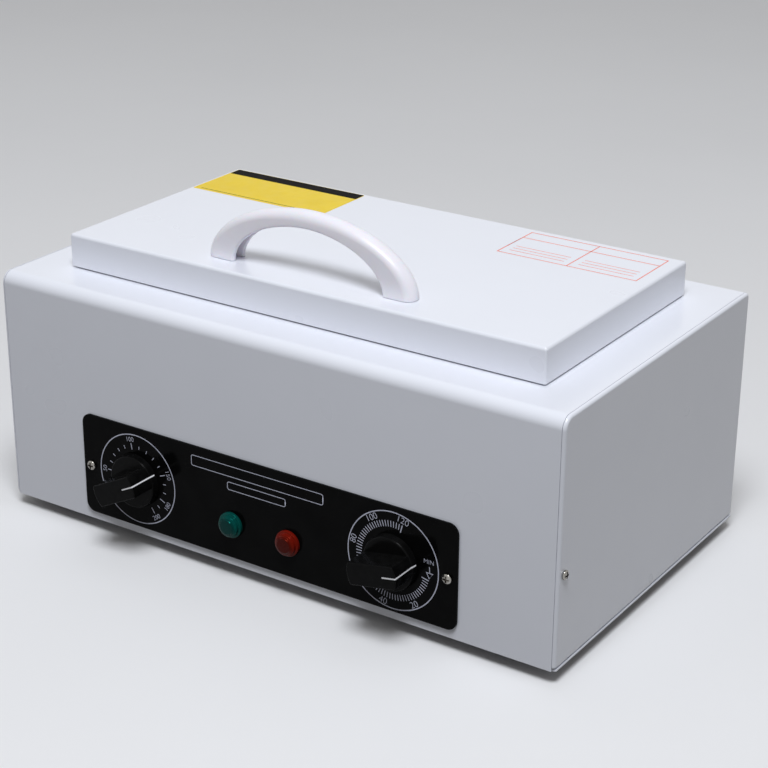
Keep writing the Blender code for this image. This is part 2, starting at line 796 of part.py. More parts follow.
def make_chamber():
    """Stainless tub with its rim, wool jacket, steel shield, heater, straps and cut-out."""
    length, width = chamber_length + 2 * tub_wall, chamber_width + 2 * tub_wall
    floor = tub_floor_z - tub_wall
    tub_outline = rect_bounds(length, width, chamber_y, chamber_corner, lambda lift: floor + lift)
    loops = rolled(tub_outline, chamber_floor_round, top_z + seat_gap - floor)
    loops.append(tub_outline(-tub_rim, top_z + seat_gap - floor))
    tub = add_part("chamber_tub", loft("chamber_tub", loops, -Z_AXIS), STEEL)
    thicken(tub, tub_wall)

    wool_length, wool_width = length + 2 * (seat_gap + wool_wall), width + 2 * (seat_gap + wool_wall)
    wool_bottom = wool_floor_z - wool_wall
    wool_outline = rect_bounds(wool_length, wool_width, chamber_y, shield_corner,
                               lambda lift: wool_bottom + lift)
    wool_top = top_z - sheet - 2 * seat_gap - shield_wall
    loops = [wool_outline(0, 0), wool_outline(0, wool_top - wool_bottom)]
    wool = add_part("chamber_wool", loft("chamber_wool", loops, -Z_AXIS), WOOL)
    thicken(wool, wool_wall)

    shield_length = wool_length + 2 * (seat_gap + shield_wall)
    shield_width = wool_width + 2 * (seat_gap + shield_wall)
    shield_outline = rect_bounds(shield_length, shield_width, chamber_y, shield_corner + shield_wall,
                                 lambda lift: shield_z + lift)
    rise = top_z - sheet - seat_gap - shield_wall - shield_z
    loops = [shield_outline(0, 0), shield_outline(0, rise), shield_outline(-shield_rim, rise)]
    shield = add_part("heat_shield", loft("heat_shield", loops, -Z_AXIS), ZINC)
    thicken(shield, shield_wall)

    for piece in (wool, shield):
        shape = bmesh.new()
        for y in (heater_rows()[0], heater_rows()[-1]):
            add_cylinder(shape, heater_radius + run_gap, (chamber_length / 2 - overrun, y, heater_z),
                         (heater_tail, y, heater_z), hole_sides)
        start = (-chamber_length / 2 + overrun, chamber_y, bulb_z)
        add_cylinder(shape, capillary_radius + run_gap, start, (-heater_tail, chamber_y, bulb_z))
        subtract(piece, to_mesh(piece.name + "_holes", shape))
    make_heater()

    cutout_top = shield_z - seat_gap
    profile = [(0, 0), (cutout_flange, 0), (cutout_flange, -cutout_flange_wall),
               (cutout_radius, -cutout_flange_wall), (cutout_radius, -cutout_height),
               (0, -cutout_height)]
    place = (cutout_place, chamber_y, cutout_top)
    turned("thermal_cutout", profile, BLACK_PLASTIC, place, Z_AXIS, hole_sides)


def heater_rows():
    """Where the legs of the heater run, front to back."""
    middle = (heater_legs - 1) / 2
    return [chamber_y + heater_pitch * (row - middle) for row in range(heater_legs)]


def make_heater():
    """A tubular heater in three bends under the tub, on two straps."""
    rows = heater_rows()
    bend = heater_pitch / 2
    points = [(heater_tail, rows[0], heater_z)]
    for turn, (near, far) in enumerate(zip(rows, rows[1:])):
        side = -1 if turn % 2 == 0 else 1
        centre = (side * heater_reach, (near + far) / 2)
        points += [(x, y, heater_z) for x, y in arc(centre, bend, -QUARTER, side * math.pi,
                                                        heater_bend_steps)]
    points.append((heater_tail, rows[-1], heater_z))
    add_part("heating_element", rod("heating_element", points, heater_radius), STEEL)
    for side, where in ((-1, "left"), (1, "right")):
        size = (strap_width, rows[-1] - rows[0] + 2 * strap_beyond, strap_wall)
        place = (side * strap_offset, chamber_y, strap_z + strap_wall / 2)
        add_part("heater_strap_" + where, box_mesh("heater_strap_" + where, size), STEEL, place)


def make_control(name, x, size, depth):
    """A switch body behind the front sheet, with a neck through it and a bore for its shaft."""
    near = front_y + sheet + seat_gap
    mesh = box_mesh(name, (size, depth, size), (0, near + depth / 2, 0))
    body = add_part(name, mesh, BLACK_PLASTIC, (x, 0, dial_z))
    soften(body, control_edge, 1)
    tip = panel_y + neck_short
    root = (0, near + control_edge, 0)
    join_at(body, cylinder(name + "_neck", neck_radius, (0, tip, 0), root, shaft_sides))
    deep = (0, near + shaft_inner + seat_gap, 0)
    bore = shaft_radius + shaft_fit
    cut_at(body, cylinder(name + "_bore", bore, (0, tip - overrun, 0), deep, shaft_sides))


def join_at(piece, mesh):
    """Join a mesh that is written in the piece's own space."""
    tool = add_cutter(mesh.name, mesh)
    tool.location = piece.location
    boolean(piece, tool, 'UNION')


def cut_at(piece, mesh):
    """Cut with a mesh that is written in the piece's own space."""
    tool = add_cutter(mesh.name, mesh)
    tool.location = piece.location
    boolean(piece, tool, 'DIFFERENCE')


def make_knob(name, x, pointer):
    """A black knob with a grip bar across it, and the shaft it is pressed on."""
    skirt_y = panel_y - knob_stand_off
    outer, inner = knob_radius, knob_radius - knob_taper
    profile = [(0, knob_skirt), (inner - knob_edge, knob_skirt), (inner, knob_skirt - knob_edge / 2),
               (outer, knob_edge / 2), (outer - knob_edge / 2, 0), (0, 0)]
    knob = turned(name, profile, BLACK_PLASTIC, (x, skirt_y, dial_z), -Y_AXIS, knob_sides)
    half = math.asin(knob_grip_width / 2 / knob_grip_radius)
    loop = arc((0, 0), knob_grip_radius, -half, 2 * half, corner_steps)
    loop += arc((0, 0), knob_grip_radius, math.pi - half, 2 * half, corner_steps)
    turn = Matrix.Rotation(math.radians(-pointer), 4, 'Y')
    shape = bmesh.new()
    base = -knob_skirt + knob_edge
    add_prism(shape, flat(loop, 'XZ', base), -(knob_grip + knob_edge) * Y_AXIS)
    front = [edge for edge in shape.edges if all(v.co.y < base - knob_grip / 2 for v in edge.verts)]
    bmesh.ops.bevel(shape, geom=front, offset=knob_grip_round, segments=coarse_steps,
                    profile=bevel_profile, affect='EDGES')
    bmesh.ops.transform(shape, matrix=turn, verts=shape.verts)
    join_at(knob, to_mesh(name + "_grip", shape, SMOOTH_ANGLE))
    end = (0, -knob_bore_depth, 0)
    bore = shaft_radius + shaft_fit
    cut_at(knob, cylinder(name + "_bore", bore, (0, overrun, 0), end, shaft_sides))
    near = front_y + sheet + seat_gap + shaft_inner
    far = skirt_y - knob_bore_depth + seat_gap
    shaft = name.replace("knob", "shaft")
    mesh = cylinder(shaft, shaft_radius, (0, near, 0), (0, far, 0), hole_sides)
    add_part(shaft, mesh, STEEL, (x, 0, dial_z))


def make_front():
    """Glossy control panel with its two screws, both controls, knobs and pilot lamps."""
    holes = [arc((x, z), radius, 0, FULL_TURN, hole_sides)[:-1] for x, z, radius in front_holes()]
    middle = (0, base_z + panel_bottom + panel_height / 2)
    outer = round_rect(panel_width, panel_height, panel_corner, fine_steps, middle)
    upright = Matrix.Rotation(QUARTER, 3, 'X')
    mesh = plate("control_panel", outer, holes, panel_wall, upright, (0, panel_y + panel_wall / 2, 0))
    add_part("control_panel", mesh, GLOSS_BLACK)
    for side, where in ((-1, "left"), (1, "right")):
        length = 2 * seat_gap + panel_wall + sheet + panel_screw_end
        pan_screw("panel_screw_" + where, panel_screw_head, panel_screw_head_height,
                  panel_screw_radius, length, (side * panel_screw_offset, panel_y - seat_gap, dial_z),
                  -Y_AXIS)
    make_control("thermostat_body", -dial_offset, thermostat_size, thermostat_depth)
    make_control("timer_body", dial_offset, timer_size, timer_depth)
    make_knob("temperature_knob", -dial_offset, temperature_pointer)
    make_knob("timer_knob", dial_offset, timer_pointer)
    make_lamp("green", -lamp_offset, GREEN_LENS)
    make_lamp("red", lamp_offset, RED_LENS)


def make_lamp(colour, x, finish):
    """A stepped, domed lens on the panel and the lamp barrel that carries it."""
    place = (x, panel_y - seat_gap, base_z + lamp_height)
    hollow = lamp_tip + run_gap
    profile = [(0, lamp_dome_height), (lamp_crown_radius, lamp_crown_height),
               (lamp_dome_radius, lamp_dome_edge), (lamp_step, lamp_shoulder_height),
               (lamp_step, lamp_step_height), (lamp_radius, lamp_flange_edge), (lamp_radius, 0),
               (hollow, 0), (hollow, lamp_tip_length), (0, lamp_tip_length)]
    turned("lamp_lens_" + colour, profile, finish, place, -Y_AXIS, lamp_sides)
    tip = lamp_tip_length - run_gap
    profile = [(0, tip), (lamp_tip, tip), (lamp_tip, -seat_gap), (lamp_barrel, -seat_gap),
               (lamp_barrel, -lamp_length), (0, -lamp_length)]
    turned("lamp_body_" + colour, profile, BLACK_PLASTIC, place, -Y_AXIS, hole_sides)


def make_lid(axis):
    """Painted lid pan with liner, wool, seal and handle, all turning about the hinge axis."""
    outline = rect_bounds(lid_length, lid_width, chamber_y, lid_corner, lambda drop: lid_top_z - drop)
    loops = rolled(outline, lid_roll, lid_height - lid_line)
    mesh = shifted(loft("lid_shell", loops, Z_AXIS), axis)
    lid = add_part("lid_shell", mesh, PAINT, axis.location, axis)
    thicken(lid, sheet)
    shape = bmesh.new()
    for x, y in handle_screw_spots():
        add_cylinder(shape, handle_screw_radius + run_gap, (x, y, lid_top_z - sheet - overrun),
                     (x, y, lid_top_z + overrun))
    subtract(lid, to_mesh("lid_shell_holes", shape))

    inner = 2 * (sheet + seat_gap)
    outline = rect_bounds(lid_length - inner, lid_width - inner, chamber_y, lid_corner,
                          lambda lift: liner_z + lift)
    loops = rolled(outline, liner_roll, liner_edge)
    mesh = shifted(loft("lid_liner", loops, -Z_AXIS), axis)
    liner = add_part("lid_liner", mesh, STEEL, axis.location, axis)
    thicken(liner, liner_wall)

    inset = inner + 2 * (liner_wall + lid_wool_inset)
    loop = round_rect(lid_length - inset, lid_width - inset, lid_corner, roll_steps, (0, chamber_y))
    level = liner_z + liner_wall + seat_gap
    mesh = prism("lid_wool", flat(loop, 'XY', level), lid_wool_height * Z_AXIS)
    add_part("lid_wool", shifted(mesh, axis), WOOL, axis.location, axis)

    middle = (0, chamber_y)
    edge = chamber_corner + seal_width
    length, width = chamber_length + 2 * seal_width, chamber_width + 2 * seal_width
    outer = round_rect(length, width, edge, corner_steps, middle)
    hole = round_rect(chamber_length, chamber_width, chamber_corner, corner_steps, middle)
    mesh = plate("lid_seal", outer, [hole], seal_height, place=(0, 0, seal_z + seal_height / 2))
    add_part("lid_seal", shifted(mesh, axis), SILICONE, axis.location, axis)


def shifted(mesh, axis):
    """Move a mesh that is written in the world into the space of an empty."""
    mesh.transform(Matrix.Translation(-axis.location))
    return mesh


def handle_screw_spots():
    """Under the solid outer part of each handle foot."""
    reach = handle_length / 2 - handle_screw_inset
    return [(side * reach, front_y + handle_front + handle_depth / 2) for side in (-1, 1)]


def arch_points(span, height, steps):
    """Half of a soft oval from right to left, standing on the lid."""
    points = []
    for step in range(steps + 1):
        turn = math.pi * step / steps
        c, s = math.cos(turn), math.sin(turn)
        x = math.copysign(abs(c) ** (2 / arch_roundness), c) * span / 2
        points.append((x, height * abs(s) ** (2 / arch_roundness)))
    return points


def make_handle(axis):
    """White plastic arch, a channel open on its inner side, held by two screws from inside."""
    front = front_y + handle_front
    foot = lid_top_z + seat_gap
    outer = arch_points(handle_length, handle_height - seat_gap, arch_steps)
    inner = arch_points(handle_span, handle_clear - seat_gap, arch_inner_steps)
    loop = [(x, foot + z) for x, z in outer + inner[::-1]]
    shape = bmesh.new()
    add_prism(shape, flat(loop, 'XZ', front), handle_depth * Y_AXIS)
    rims = [edge for edge in shape.edges if on_outer_rim(edge, outer, foot)]
    bmesh.ops.bevel(shape, geom=rims, offset=handle_round, segments=corner_steps,
                    profile=bevel_profile, affect='EDGES')
    mesh = shifted(to_mesh("lid_handle", shape, SMOOTH_ANGLE), axis)
    handle = add_part("lid_handle", mesh, WHITE_PLASTIC, axis.location, axis)
    groove = arch_points(handle_groove_span, handle_groove_height, arch_inner_steps)
    groove += [(-handle_groove_span / 2, -overrun), (handle_groove_span / 2, -overrun)]
    low = front + (handle_depth - handle_groove_width) / 2
    subtract(handle, prism("handle_groove", flat([(x, foot + z) for x, z in groove], 'XZ', low),
                           handle_groove_width * Y_AXIS))
    shape = bmesh.new()
    bore = handle_screw_radius + run_gap
    for x, y in handle_screw_spots():
        add_cylinder(shape, bore, (x, y, foot - overrun), (x, y, foot + handle_screw_length))
    subtract(handle, to_mesh("handle_bores", shape))
    for (x, y), where in zip(handle_screw_spots(), ("left", "right")):
        under = lid_top_z - sheet - seat_gap
        place = Vector((x, y, under))
        pan_screw("handle_screw_" + where, handle_screw_head, handle_screw_head_height,
                  handle_screw_radius, sheet + seat_gap + handle_screw_length - run_gap, place,
                  -Z_AXIS, ZINC, axis)


def on_outer_rim(edge, outer, foot):
    """True for the edges that run along the outer arch on the two flat sides of the handle."""
    a, b = (vert.co for vert in edge.verts)
    if abs(a.y - b.y) > weld:
        return False
    known = [Vector((x, foot + z)) for x, z in outer]
    near = [min((Vector((v.x, v.z)) - k).length for k in known) < weld for v in (a, b)]
    return all(near) and abs(a.x - b.x) < handle_length / 2


def make_hinges(axis):
    """Two butt hinges: a leaf on the cabinet, a leaf on the lid and a pin."""
    for side, where in ((-1, "left"), (1, "right")):
        make_hinge(side * hinge_offset, side, where, axis)


def make_hinge(centre, side, where, axis):
    """One butt hinge: its two outer knuckles are on the cabinet, the middle one on the lid."""
    half, middle = hinge_length / 2, hinge_middle / 2
    start = hinge_knuckle + run_gap
    name = "hinge_leaf_fixed_" + where
    mesh = lying_leaf(name, centre - half, centre + half, start, start + hinge_leaf_depth)
    leaf = add_part(name, mesh, ZINC)
    spans = [(centre - half, centre - middle - run_gap), (centre + middle + run_gap, centre + half)]
    for span, end in zip(spans, ("_inner", "_outer")):
        join(leaf, lying_leaf(name + end + "_tongue", *span, 0, start + hinge_wall))
        join(leaf, knuckle(name + end + "_knuckle", *span))
    subtract(leaf, hinge_bore(name, centre))

    name = "hinge_leaf_lid_" + where
    mesh = upright_leaf(name, centre - half, centre + half, start, start + hinge_leaf_height)
    leaf = add_part(name, shifted(mesh, axis), ZINC, axis.location, axis)
    span = (centre - middle, centre + middle)
    join(leaf, upright_leaf(name + "_tongue", *span, 0, start + hinge_wall))
    join(leaf, knuckle(name + "_knuckle", *span))
    subtract(leaf, hinge_bore(name, centre))

    head = hinge_pin_head_height
    length = hinge_length + seat_gap
    profile = [(0, head), (hinge_pin_head_flat, head), (hinge_pin_head, head / 2),
               (hinge_pin_head, 0), (hinge_pin, 0), (hinge_pin, -length), (0, -length)]
    place = (centre + side * (half + seat_gap), hinge_y, hinge_z)
    turned("hinge_pin_" + where, profile, STEEL, place, side * X_AXIS, small_sides, parent=axis)


def lying_leaf(name, left, right, start, end):
    """A leaf that lies on the cabinet behind the hinge axis."""
    y, z = hinge_y, hinge_z - hinge_leaf_low
    loop = [(y + start, z), (y + end, z), (y + end, z + hinge_wall), (y + start, z + hinge_wall)]
    return prism(name, flat(loop, 'YZ', left), (right - left) * X_AXIS)


def upright_leaf(name, left, right, start, end):
    """A leaf that stands against the lid above the hinge axis."""
    y, z = hinge_y - hinge_leaf_low, hinge_z
    loop = [(y, z + start), (y + hinge_wall, z + start), (y + hinge_wall, z + end), (y, z + end)]
    return prism(name, flat(loop, 'YZ', left), (right - left) * X_AXIS)


def knuckle(name, left, right):
    """The rolled part of a leaf round the pin."""
    return cylinder(name, hinge_knuckle, (left, hinge_y, hinge_z), (right, hinge_y, hinge_z), hinge_sides)


def hinge_bore(name, centre):
    """The bore through all the knuckles of one hinge."""
    ends = [(centre + side * hinge_length, hinge_y, hinge_z) for side in (-1, 1)]
    return cylinder(name + "_bore", hinge_pin + run_gap, *ends, hole_sides)


def make_inlet():
    """Mains inlet in the back sheet: moulded body, three blades and two screws."""
    z = base_z + inlet_height
    seat = back_y + seat_gap
    middle = (inlet_offset, z)
    loop = round_rect(inlet_flange_width, inlet_flange_height, inlet_flange_corner, corner_steps, middle)
    mesh = prism("power_inlet", flat(loop, 'XZ', seat), inlet_flange_wall * Y_AXIS)
    body = add_part("power_inlet", mesh, BLACK_PLASTIC)
    loop = round_rect(inlet_body_width, inlet_body_height, inlet_body_corner, roll_steps, middle)
    join(body, prism("inlet_barrel", flat(loop, 'XZ', seat + inlet_flange_wall / 2),
                     -(inlet_body_depth + inlet_flange_wall / 2) * Y_AXIS))
    mouth = seat + inlet_flange_wall
    loop = round_rect(inlet_recess_width, inlet_recess_height, inlet_recess_corner, roll_steps, middle)
    shape = bmesh.new()
    add_prism(shape, flat(loop, 'XZ', mouth + overrun), -(inlet_recess_depth + overrun) * Y_AXIS)
    for x, height in inlet_screw_spots():
        add_cylinder(shape, inlet_screw_radius + run_gap, (x, seat - overrun, height),
                     (x, mouth + overrun, height))
    subtract(body, to_mesh("inlet_recess", shape))
    back = seat - inlet_body_depth
    bottom = mouth - inlet_recess_depth
    shape = bmesh.new()
    for x, height, _ in blade_spots():
        size = (blade_wall + 2 * run_gap, bottom - back + 2 * overrun, blade_width + 2 * run_gap)
        matrix = Matrix.Translation((x, (back + bottom) / 2, height)) @ Matrix.Diagonal((*size, 1))
        bmesh.ops.create_cube(shape, size=1, matrix=matrix)
    subtract(body, to_mesh("inlet_blade_holes", shape))
    for x, height, name in blade_spots():
        size = (blade_wall, bottom - back + blade_reach + blade_tail, blade_width)
        blade = add_part("inlet_blade_" + name, box_mesh("inlet_blade_" + name, size), BRASS,
                         (x, back - blade_tail + size[1] / 2, height))
        soften(blade, blade_edge, 1)
    for (x, height), where in zip(inlet_screw_spots(), ("left", "right")):
        length = 2 * seat_gap + inlet_flange_wall + sheet + inlet_screw_end
        pan_screw("inlet_screw_" + where, inlet_screw_head, inlet_screw_head_height,
                  inlet_screw_radius, length, (x, mouth + seat_gap, height), Y_AXIS)


def blade_spots():
    """The three blades: two below, the earth blade above between them."""
    z = base_z + inlet_height
    return [(inlet_offset - blade_spacing, z - blade_rise, "neutral"),
            (inlet_offset, z + blade_rise, "earth"),
            (inlet_offset + blade_spacing, z - blade_rise, "live")]


def make_wiring():
    """Ceramic terminal block, its wires, and the thermostat's bulb with its capillary."""
    floor = base_z + base_wall + seat_gap
    block_y = front_y + block_place
    mesh = box_mesh("terminal_block", (block_length, block_width, block_height))
    block = add_part("terminal_block", mesh, CERAMIC, (block_offset, block_y, floor + block_height / 2))
    soften(block, block_edge, 1)
    entry_z = floor + block_height / 2
    rear = block_y + block_width / 2 + wire_gap
    front = block_y - block_width / 2 - wire_gap
    tail = back_y + seat_gap - inlet_body_depth - blade_tail - wire_gap
    for (x, z, name), side in zip((blade_spots()[0], blade_spots()[2]), (-1, 1)):
        pole = block_offset + side * block_pole_pitch
        points = smooth_route([(x, tail, z), (x, tail - wire_lead, z),
                               (pole, (tail + rear) / 2, (z + entry_z) / 2),
                               (pole, rear + wire_lead, entry_z), (pole, rear, entry_z)])
        finish = WIRE_BLUE if name == "neutral" else WIRE_BROWN
        add_part("wire_" + name, rod("wire_" + name, points, wire_radius), finish)

    tip = heater_tail + wire_gap
    reach = tip + wire_loop
    row = heater_rows()[0]
    pole = block_offset + block_heater_pole
    points = smooth_route([(tip, row, heater_z), (reach, row, heater_z - wire_radius),
                           (reach + wire_loop / 2, row, heater_z - 2 * wire_loop),
                           (reach, row + block_height, entry_z + block_height),
                           (pole, front - wire_lead, entry_z), (pole, front, entry_z)])
    add_part("wire_heater", rod("wire_heater", points, wire_radius), WIRE_WHITE)

    mesh = cylinder("thermostat_bulb", bulb_radius, (0, 0, 0), (bulb_length, 0, 0))
    add_part("thermostat_bulb", mesh, BRASS, (-bulb_start, chamber_y, bulb_z))
    rear = front_y + sheet + seat_gap + thermostat_depth + capillary_gap
    points = [(-bulb_start - capillary_gap, chamber_y, bulb_z)]
    points += smooth_route([(-capillary_exit, chamber_y, bulb_z),
                            (-capillary_exit - capillary_bend / 4, chamber_y, bulb_z),
                            (-capillary_exit - capillary_bend / 2, chamber_y - capillary_bend, shield_z),
                            (-capillary_exit, chamber_y - 2 * capillary_lead, dial_z),
                            (-dial_offset, rear + capillary_lead, dial_z), (-dial_offset, rear, dial_z)])
    add_part("thermostat_capillary", rod("thermostat_capillary", points, capillary_radius), BRASS)


def make_tray():
    """Slotted instrument tray that lifts out of the chamber."""
    floor = tub_floor_z + seat_gap
    outline = rect_bounds(tray_length, tray_width, chamber_y, tray_corner, lambda lift: floor + lift)
    loops = rolled(outline, tray_floor_round, tray_height, coarse_steps)
    loops.append(outline(-tray_rim, tray_height))
    tray = add_part("instrument_tray", loft("instrument_tray", loops, -Z_AXIS), STEEL)
    thicken(tray, tray_wall)
    shape = bmesh.new()
    for column in range(-3, 4):
        for row in (-1, 1):
            centre = (column * tray_slot_pitch_x, chamber_y + row * tray_slot_pitch_y / 2)
            loop = slot(tray_slot_width, tray_slot_length, centre, 1)
            add_prism(shape, flat(loop, 'XY', floor - overrun / 2), (tray_wall + overrun) * Z_AXIS)
    subtract(tray, to_mesh("tray_slots", shape))


def build():
    """Make every piece."""
    start()
    make_base()
    make_wrap()
    make_sides()
    make_chamber()
    make_front()
    axis = axis_empty("lid_axis", (0, hinge_y, hinge_z))
    make_lid(axis)
    make_handle(axis)
    make_hinges(axis)
    make_inlet()
    make_wiring()
    make_tray()


build()
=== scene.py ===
"""The finished look of a small bench dry heat sterilizer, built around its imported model.

Metres, +Z up, +X to the operator's right, +Y to the back.
"""
import math

import bmesh
import bpy
from mathutils import Matrix, Vector


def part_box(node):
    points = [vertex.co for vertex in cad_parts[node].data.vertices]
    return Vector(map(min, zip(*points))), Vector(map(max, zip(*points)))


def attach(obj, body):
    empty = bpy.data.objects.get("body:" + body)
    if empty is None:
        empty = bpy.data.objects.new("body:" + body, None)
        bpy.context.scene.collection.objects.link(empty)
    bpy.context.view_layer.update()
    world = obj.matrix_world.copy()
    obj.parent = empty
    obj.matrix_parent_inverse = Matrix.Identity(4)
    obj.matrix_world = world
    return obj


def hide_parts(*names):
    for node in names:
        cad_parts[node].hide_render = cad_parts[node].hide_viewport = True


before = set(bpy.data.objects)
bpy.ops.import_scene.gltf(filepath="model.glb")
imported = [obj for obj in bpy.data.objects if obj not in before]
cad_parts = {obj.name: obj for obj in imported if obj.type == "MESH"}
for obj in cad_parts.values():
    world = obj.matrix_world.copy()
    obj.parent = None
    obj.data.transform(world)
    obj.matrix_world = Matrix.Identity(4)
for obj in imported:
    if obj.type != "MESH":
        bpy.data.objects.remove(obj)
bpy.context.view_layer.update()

mm = 0.001


# Camera
# The photographer stood to the right of the instrument and above it, a little over a metre away,
# with a long lens and the camera all but level.
def in_scene(name, data):
    """A new object of some data, linked to the scene."""
    made = bpy.data.objects.new(name, data)
    bpy.context.scene.collection.objects.link(made)
    return made


view_turn = math.radians(33.56)
view_rise = math.radians(22.95)
view_roll = math.radians(0.365)
camera = in_scene("camera", bpy.data.cameras.new("camera"))
camera.data.sensor_width = 36
camera.data.lens = 91.16
camera.data.clip_start = 0.05
backward = Vector((math.sin(view_turn) * math.cos(view_rise),
                   -math.cos(view_turn) * math.cos(view_rise), math.sin(view_rise)))
level = Vector((math.cos(view_turn), math.sin(view_turn), 0))
upright = backward.cross(level)
sideways = math.cos(view_roll) * level + math.sin(view_roll) * upright
upward = math.cos(view_roll) * upright - math.sin(view_roll) * level
camera.matrix_world = (Matrix.Translation(Vector((582.4, -855.5, 526.8)) * mm)
                       @ Matrix((sideways, upward, backward)).transposed().to_4x4())
bpy.context.scene.camera = camera
bpy.context.scene.view_settings.view_transform = 'Standard'


# Studio
# A pale table top under one soft box above the operator's right shoulder. The room gives the
# rest of the light, at a plain level.
def add_node(tree, kind, *values, **named):
    """A node with plain values or links: for its first sockets, and by name for a capitalised
    socket or a lower case setting."""
    node = tree.nodes.new(kind)
    for label in [label for label in named if label.islower()]:
        setattr(node, label, named.pop(label))
    sockets = list(zip(node.inputs, values))
    sockets += [(node.inputs[label.replace("_", " ")], value) for label, value in named.items()]
    for socket, value in sockets:
        if isinstance(value, bpy.types.NodeSocket):
            tree.links.new(value, socket)
        else:
            socket.default_value = value
    return node.outputs


def reckon(tree, operation, *values):
    """A Math node on sockets or plain numbers."""
    return add_node(tree, "ShaderNodeMath", *values, operation=operation)[0]


def new_finish(name, colour, roughness, metallic=0.0, **sockets):
    """A Principled material whose constant values stand on the shader's own sockets."""
    made = bpy.data.materials.new(name)
    made.use_nodes = True
    shader = made.node_tree.nodes["Principled BSDF"]
    shader.inputs["Base Color"].default_value = (*colour, 1)
    shader.inputs["Roughness"].default_value = roughness
    shader.inputs["Metallic"].default_value = metallic
    for label, value in sockets.items():
        shader.inputs[label.replace("_", " ")].default_value = value
    return made


def grain(made, size, detail=3.0, stretch=(1, 1, 1)):
    """Noise on Object coordinates, with grains of about the given size."""
    tree = made.node_tree
    place = add_node(tree, "ShaderNodeTexCoord")["Object"]
    place = add_node(tree, "ShaderNodeMapping", Vector=place, Scale=stretch)[0]
    return add_node(tree, "ShaderNodeTexNoise", Vector=place, Scale=1 / size, Detail=detail)["Fac"]


def shade(made, label, kind, **named):
    """A node that feeds a socket of the shader; a tuple stands for the noise that it describes."""
    for socket, value in named.items():
        if isinstance(value, tuple):
            named[socket] = grain(made, *value)
    result = add_node(made.node_tree, kind, **named)[0]
    made.node_tree.links.new(result, made.node_tree.nodes["Principled BSDF"].inputs[label])
    return result.node


def tint(made, value, dark, pale, low=0.35, high=0.65):
    """Run the base colour between two colours along a noise."""
    ramp = shade(made, "Base Color", "ShaderNodeValToRGB", Fac=value).color_ramp
    for stop, position, colour in zip(ramp.elements, (low, high), (dark, pale)):
        stop.position = position
        stop.color = (*colour, 1)


def vary_gloss(made, value, smooth, rough, low=0.3, high=0.7):
    """Run the roughness between two values along a noise."""
    shade(made, "Roughness", "ShaderNodeMapRange", Value=value, From_Min=low, From_Max=high, To_Min=smooth,
          To_Max=rough)


def emboss(made, value, depth, strength=1.0):
    """Raise the surface along a noise."""
    shade(made, "Normal", "ShaderNodeBump", Height=value, Distance=depth, Strength=strength)


def end_on(owner, kind, unseen, seen):
    """End a material or the world on one shader for rays from the camera, from gloss or through
    glass, and on another one for light that bounces."""
    tree = owner.node_tree
    rays = add_node(tree, "ShaderNodeLightPath")
    value = rays["Is Camera Ray"]
    for label in ("Is Glossy Ray", "Is Transmission Ray"):
        value = reckon(tree, 'MAXIMUM', value, rays[label])
    mix = add_node(tree, "ShaderNodeMixShader", value, unseen, seen)[0]
    tree.links.new(mix, tree.nodes[kind].inputs["Surface"])


table_radius = 7.0
table_mesh = bpy.data.meshes.new("table_top")
shape = bmesh.new()
bmesh.ops.create_circle(shape, cap_ends=True, segments=96, radius=table_radius)
shape.to_mesh(table_mesh)
shape.free()
table = in_scene("table_top", table_mesh)
table_finish = new_finish("table_paper", (0.84, 0.84, 0.85), 0.7)
tint(table_finish, (0.4, 4.0), (0.83, 0.83, 0.84), (0.85, 0.85, 0.86))
calm = add_node(table_finish.node_tree, "ShaderNodeBsdfDiffuse", Color=(0.08, 0.078, 0.077, 1))[0]
end_on(table_finish, "Material Output", calm, table_finish.node_tree.nodes["Principled BSDF"].outputs[0])
table_mesh.materials.append(table_finish)

room = bpy.data.worlds.new("room")
room.use_nodes = True
calm = room.node_tree.nodes["Background"]
calm.inputs["Color"].default_value = (1.0, 0.99, 0.98, 1)
calm.inputs["Strength"].default_value = 0.25
pale = add_node(room.node_tree, "ShaderNodeBackground", Color=(0.86, 0.87, 0.88, 1))[0]
end_on(room, "World Output", calm.outputs[0], pale)
bpy.context.scene.world = room

soft_box = bpy.data.lights.new("soft_box_above", 'AREA')
soft_box.shape = 'RECTANGLE'
soft_box.size = 0.95
soft_box.size_y = 0.95
soft_box.energy = 53
soft_box.color = (0.935, 0.96, 1.0)
holder = in_scene("soft_box_above", soft_box)
holder.location = (0.6, -0.95, 2.45)
looks_at = Vector((0, 0, 0.1))
holder.rotation_euler = (looks_at - holder.location).to_track_quat('-Z', 'Y').to_euler()


# Base plate
# The floor of the cabinet: a flat sheet of 1.2 mm steel with two groups of punched air slots,
# powder coated white. The folded sheet hangs over its front edge; the side panels stand on it.
white_paint = new_finish("white_powder_coat", (0.83, 0.85, 0.92), 0.3, Coat_Weight=0.5, Coat_Roughness=0.1)
tint(white_paint, (0.04, 2.0), (0.82, 0.84, 0.91), (0.84, 0.86, 0.93), 0.15, 0.85)
vary_gloss(white_paint, (0.03, 1.0), 0.26, 0.34, 0.15, 0.85)
emboss(white_paint, (0.012, 1.0), 0.00003, 0.25)

quarter = math.pi / 2


def in_mm(*lengths):
    """Lengths that are given in millimetres."""
    return [length * mm for length in lengths]


def arc(centre, radius, start, turn, steps):
    """Points of an arc in a plane, both ends included."""
    angles = [start + turn * step / steps for step in range(steps + 1)]
    return [(centre[0] + radius * math.cos(a), centre[1] + radius * math.sin(a)) for a in angles]


def round_rect(low, high, radius, steps=8):
    """A rectangle between two corners with round corners; radius is one value or four."""
    radii = radius if isinstance(radius, (list, tuple)) else [radius] * 4
    corners = ((high[0], high[1], -1, -1), (low[0], high[1], 1, -1),
               (low[0], low[1], 1, 1), (high[0], low[1], -1, 1))
    points = []
    for number, ((x, y, inward_x, inward_y), bend) in enumerate(zip(corners, radii)):
        points += arc((x + inward_x * bend, y + inward_y * bend), bend, number * quarter, quarter, steps)
    return points


